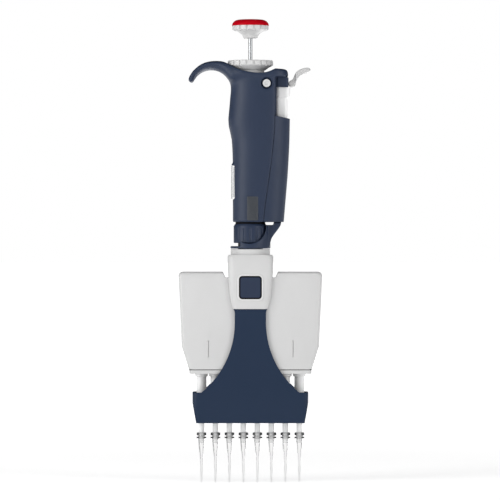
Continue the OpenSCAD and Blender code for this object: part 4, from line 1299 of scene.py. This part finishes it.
@dataclass(frozen=True)
class SoftLight:
    """Rectangular light that the camera doesn't see."""

    name: str
    place: Triple
    target: Triple
    size: tuple[float, float]
    power: float

    def build(self) -> None:
        """Stands the light at its place and turns it to its target."""
        data = bpy.data.lights.new(self.name, "AREA")
        data.shape = "RECTANGLE"
        data.size, data.size_y = self.size
        data.energy = self.power
        lamp = stand(self.name, data)
        lamp.location = self.place
        facing = Vector(self.target) - Vector(self.place)
        lamp.rotation_euler = facing.to_track_quat("-Z", "Y").to_euler()
        lamp.visible_camera = False


@dataclass
class Studio:
    """Pale floor, soft light and the camera of the picture."""

    distance: float = 2.4
    sensor: float = 36.0
    aim_x: float = -0.26 * MM
    aim_z: float = 149.5 * MM
    picture: float = 321.9 * MM
    middle: Triple = (0.0, 0.0, 0.15)
    floor_half: float = 40.0
    floor_cells: int = 12
    floor_sink: float = 0.05 * MM
    floor_cloud: float = 0.4
    near_glow: float = 0.55
    far_glow: float = 0.95
    near: float = 0.25
    far: float = 1.1
    horizon: float = 0.45
    overhead: float = 0.1
    overhead_from: float = 0.75
    flags: float = 0.9
    flags_range: tuple[float, float] = (-0.35, 0.25)

    def floor(self) -> None:
        """Lays a large pale floor that glows a little, so that shadows on it stay soft."""
        width = self.floor_cells + 1
        ticks = np.linspace(-self.floor_half, self.floor_half, width)
        across, along = (grid.ravel() for grid in np.meshgrid(ticks, ticks))
        points = np.column_stack((across, along, np.full(width * width, -self.floor_sink)))
        faces = [
            [i * width + j, i * width + j + 1, (i + 1) * width + j + 1, (i + 1) * width + j]
            for i in range(self.floor_cells) for j in range(self.floor_cells)
        ]
        piece = stand("floor", mesh_of(points, faces))
        bench = Bench(bpy.data.materials.new("floor_white"))
        clouds = bench.noise(self.floor_cloud, 2.0)
        away = bench.value("ShaderNodeVectorMath", {"operation": "LENGTH"}, {0: bench.place()}, 1)
        glow = bench.blend(
            away.within(self.near, self.far), grey(self.near_glow), grey(self.far_glow)
        )
        shader = bench.surface({
            "Base Color": bench.blend(clouds, grey(0.93), grey(0.95)),
            "Roughness": 0.9 + (clouds - 0.5) * 0.1,
            "Emission Color": glow,
            "Emission Strength": 1.0,
            "Specular IOR Level": 0.1,
        })
        piece.data.materials.append(bench.close(shader))

    def world(self) -> None:
        """Surrounds the object with white light that is weaker behind it and stronger above it."""
        bench = Bench(bpy.data.worlds.new("studio"))
        towards = bench.node("ShaderNodeTexCoord").outputs["Generated"]
        split = bench.node("ShaderNodeSeparateXYZ", {}, {0: towards})
        up = Value(bench, split.outputs["Z"]).within(0.0, self.overhead_from)
        behind = Value(bench, split.outputs["Y"]).within(*self.flags_range)
        level = (self.horizon + self.overhead * up) * (1.0 - self.flags * behind)
        seen = bench.value("ShaderNodeLightPath", {}, {}, "Is Camera Ray")
        strength = level + seen * (1.0 - level)
        white = {"Color": (*grey(1.0), 1.0), "Strength": strength}
        glow = bench.node("ShaderNodeBackground", {}, white)
        bpy.context.scene.world = bench.close(glow, "ShaderNodeOutputWorld")
        bpy.context.scene.view_settings.view_transform = "Standard"

    def camera(self) -> None:
        """Sets the camera level in front of the object, with a long lens."""
        data = bpy.data.cameras.new("camera")
        data.sensor_width = self.sensor
        data.lens = data.sensor_width * self.distance / self.picture
        eye = stand("camera", data)
        eye.location = (self.aim_x, -self.distance, self.aim_z)
        eye.rotation_euler = (math.pi / 2, 0.0, 0.0)
        bpy.context.scene.camera = eye

    def build(self) -> None:
        """Builds the floor, the light and the camera."""
        self.camera()
        self.floor()
        self.world()
        for lamp in (
            SoftLight("key", (-1.30, -0.85, 0.45), self.middle, (0.8, 1.2), 16.0),
            SoftLight("fill", (1.3, -0.9, 0.45), self.middle, (0.6, 1.2), 9.0),
            SoftLight("top", (-0.1, -0.6, 1.5), self.middle, (1.2, 0.8), 1.0),
            SoftLight("under", (0.09, 0.24, 0.004), (0.09, 0.24, 1.0), (0.30, 0.28), 1.5),
        ):
            lamp.build()


def main() -> None:
    """Builds the studio and the pipette's sub-assemblies in order."""
    logging.basicConfig(level=logging.INFO, format="%(name)s: %(message)s")
    Studio().build()
    for part in (
        HandleGrip(), PushButton(), VolumeSetting(), EjectorSlide(), Head(), TipEjector(), Tips(),
    ):
        log.info("building %s", type(part).__name__)
        part.build()
    bpy.context.view_layer.update()


if __name__ == "__main__":
    main()
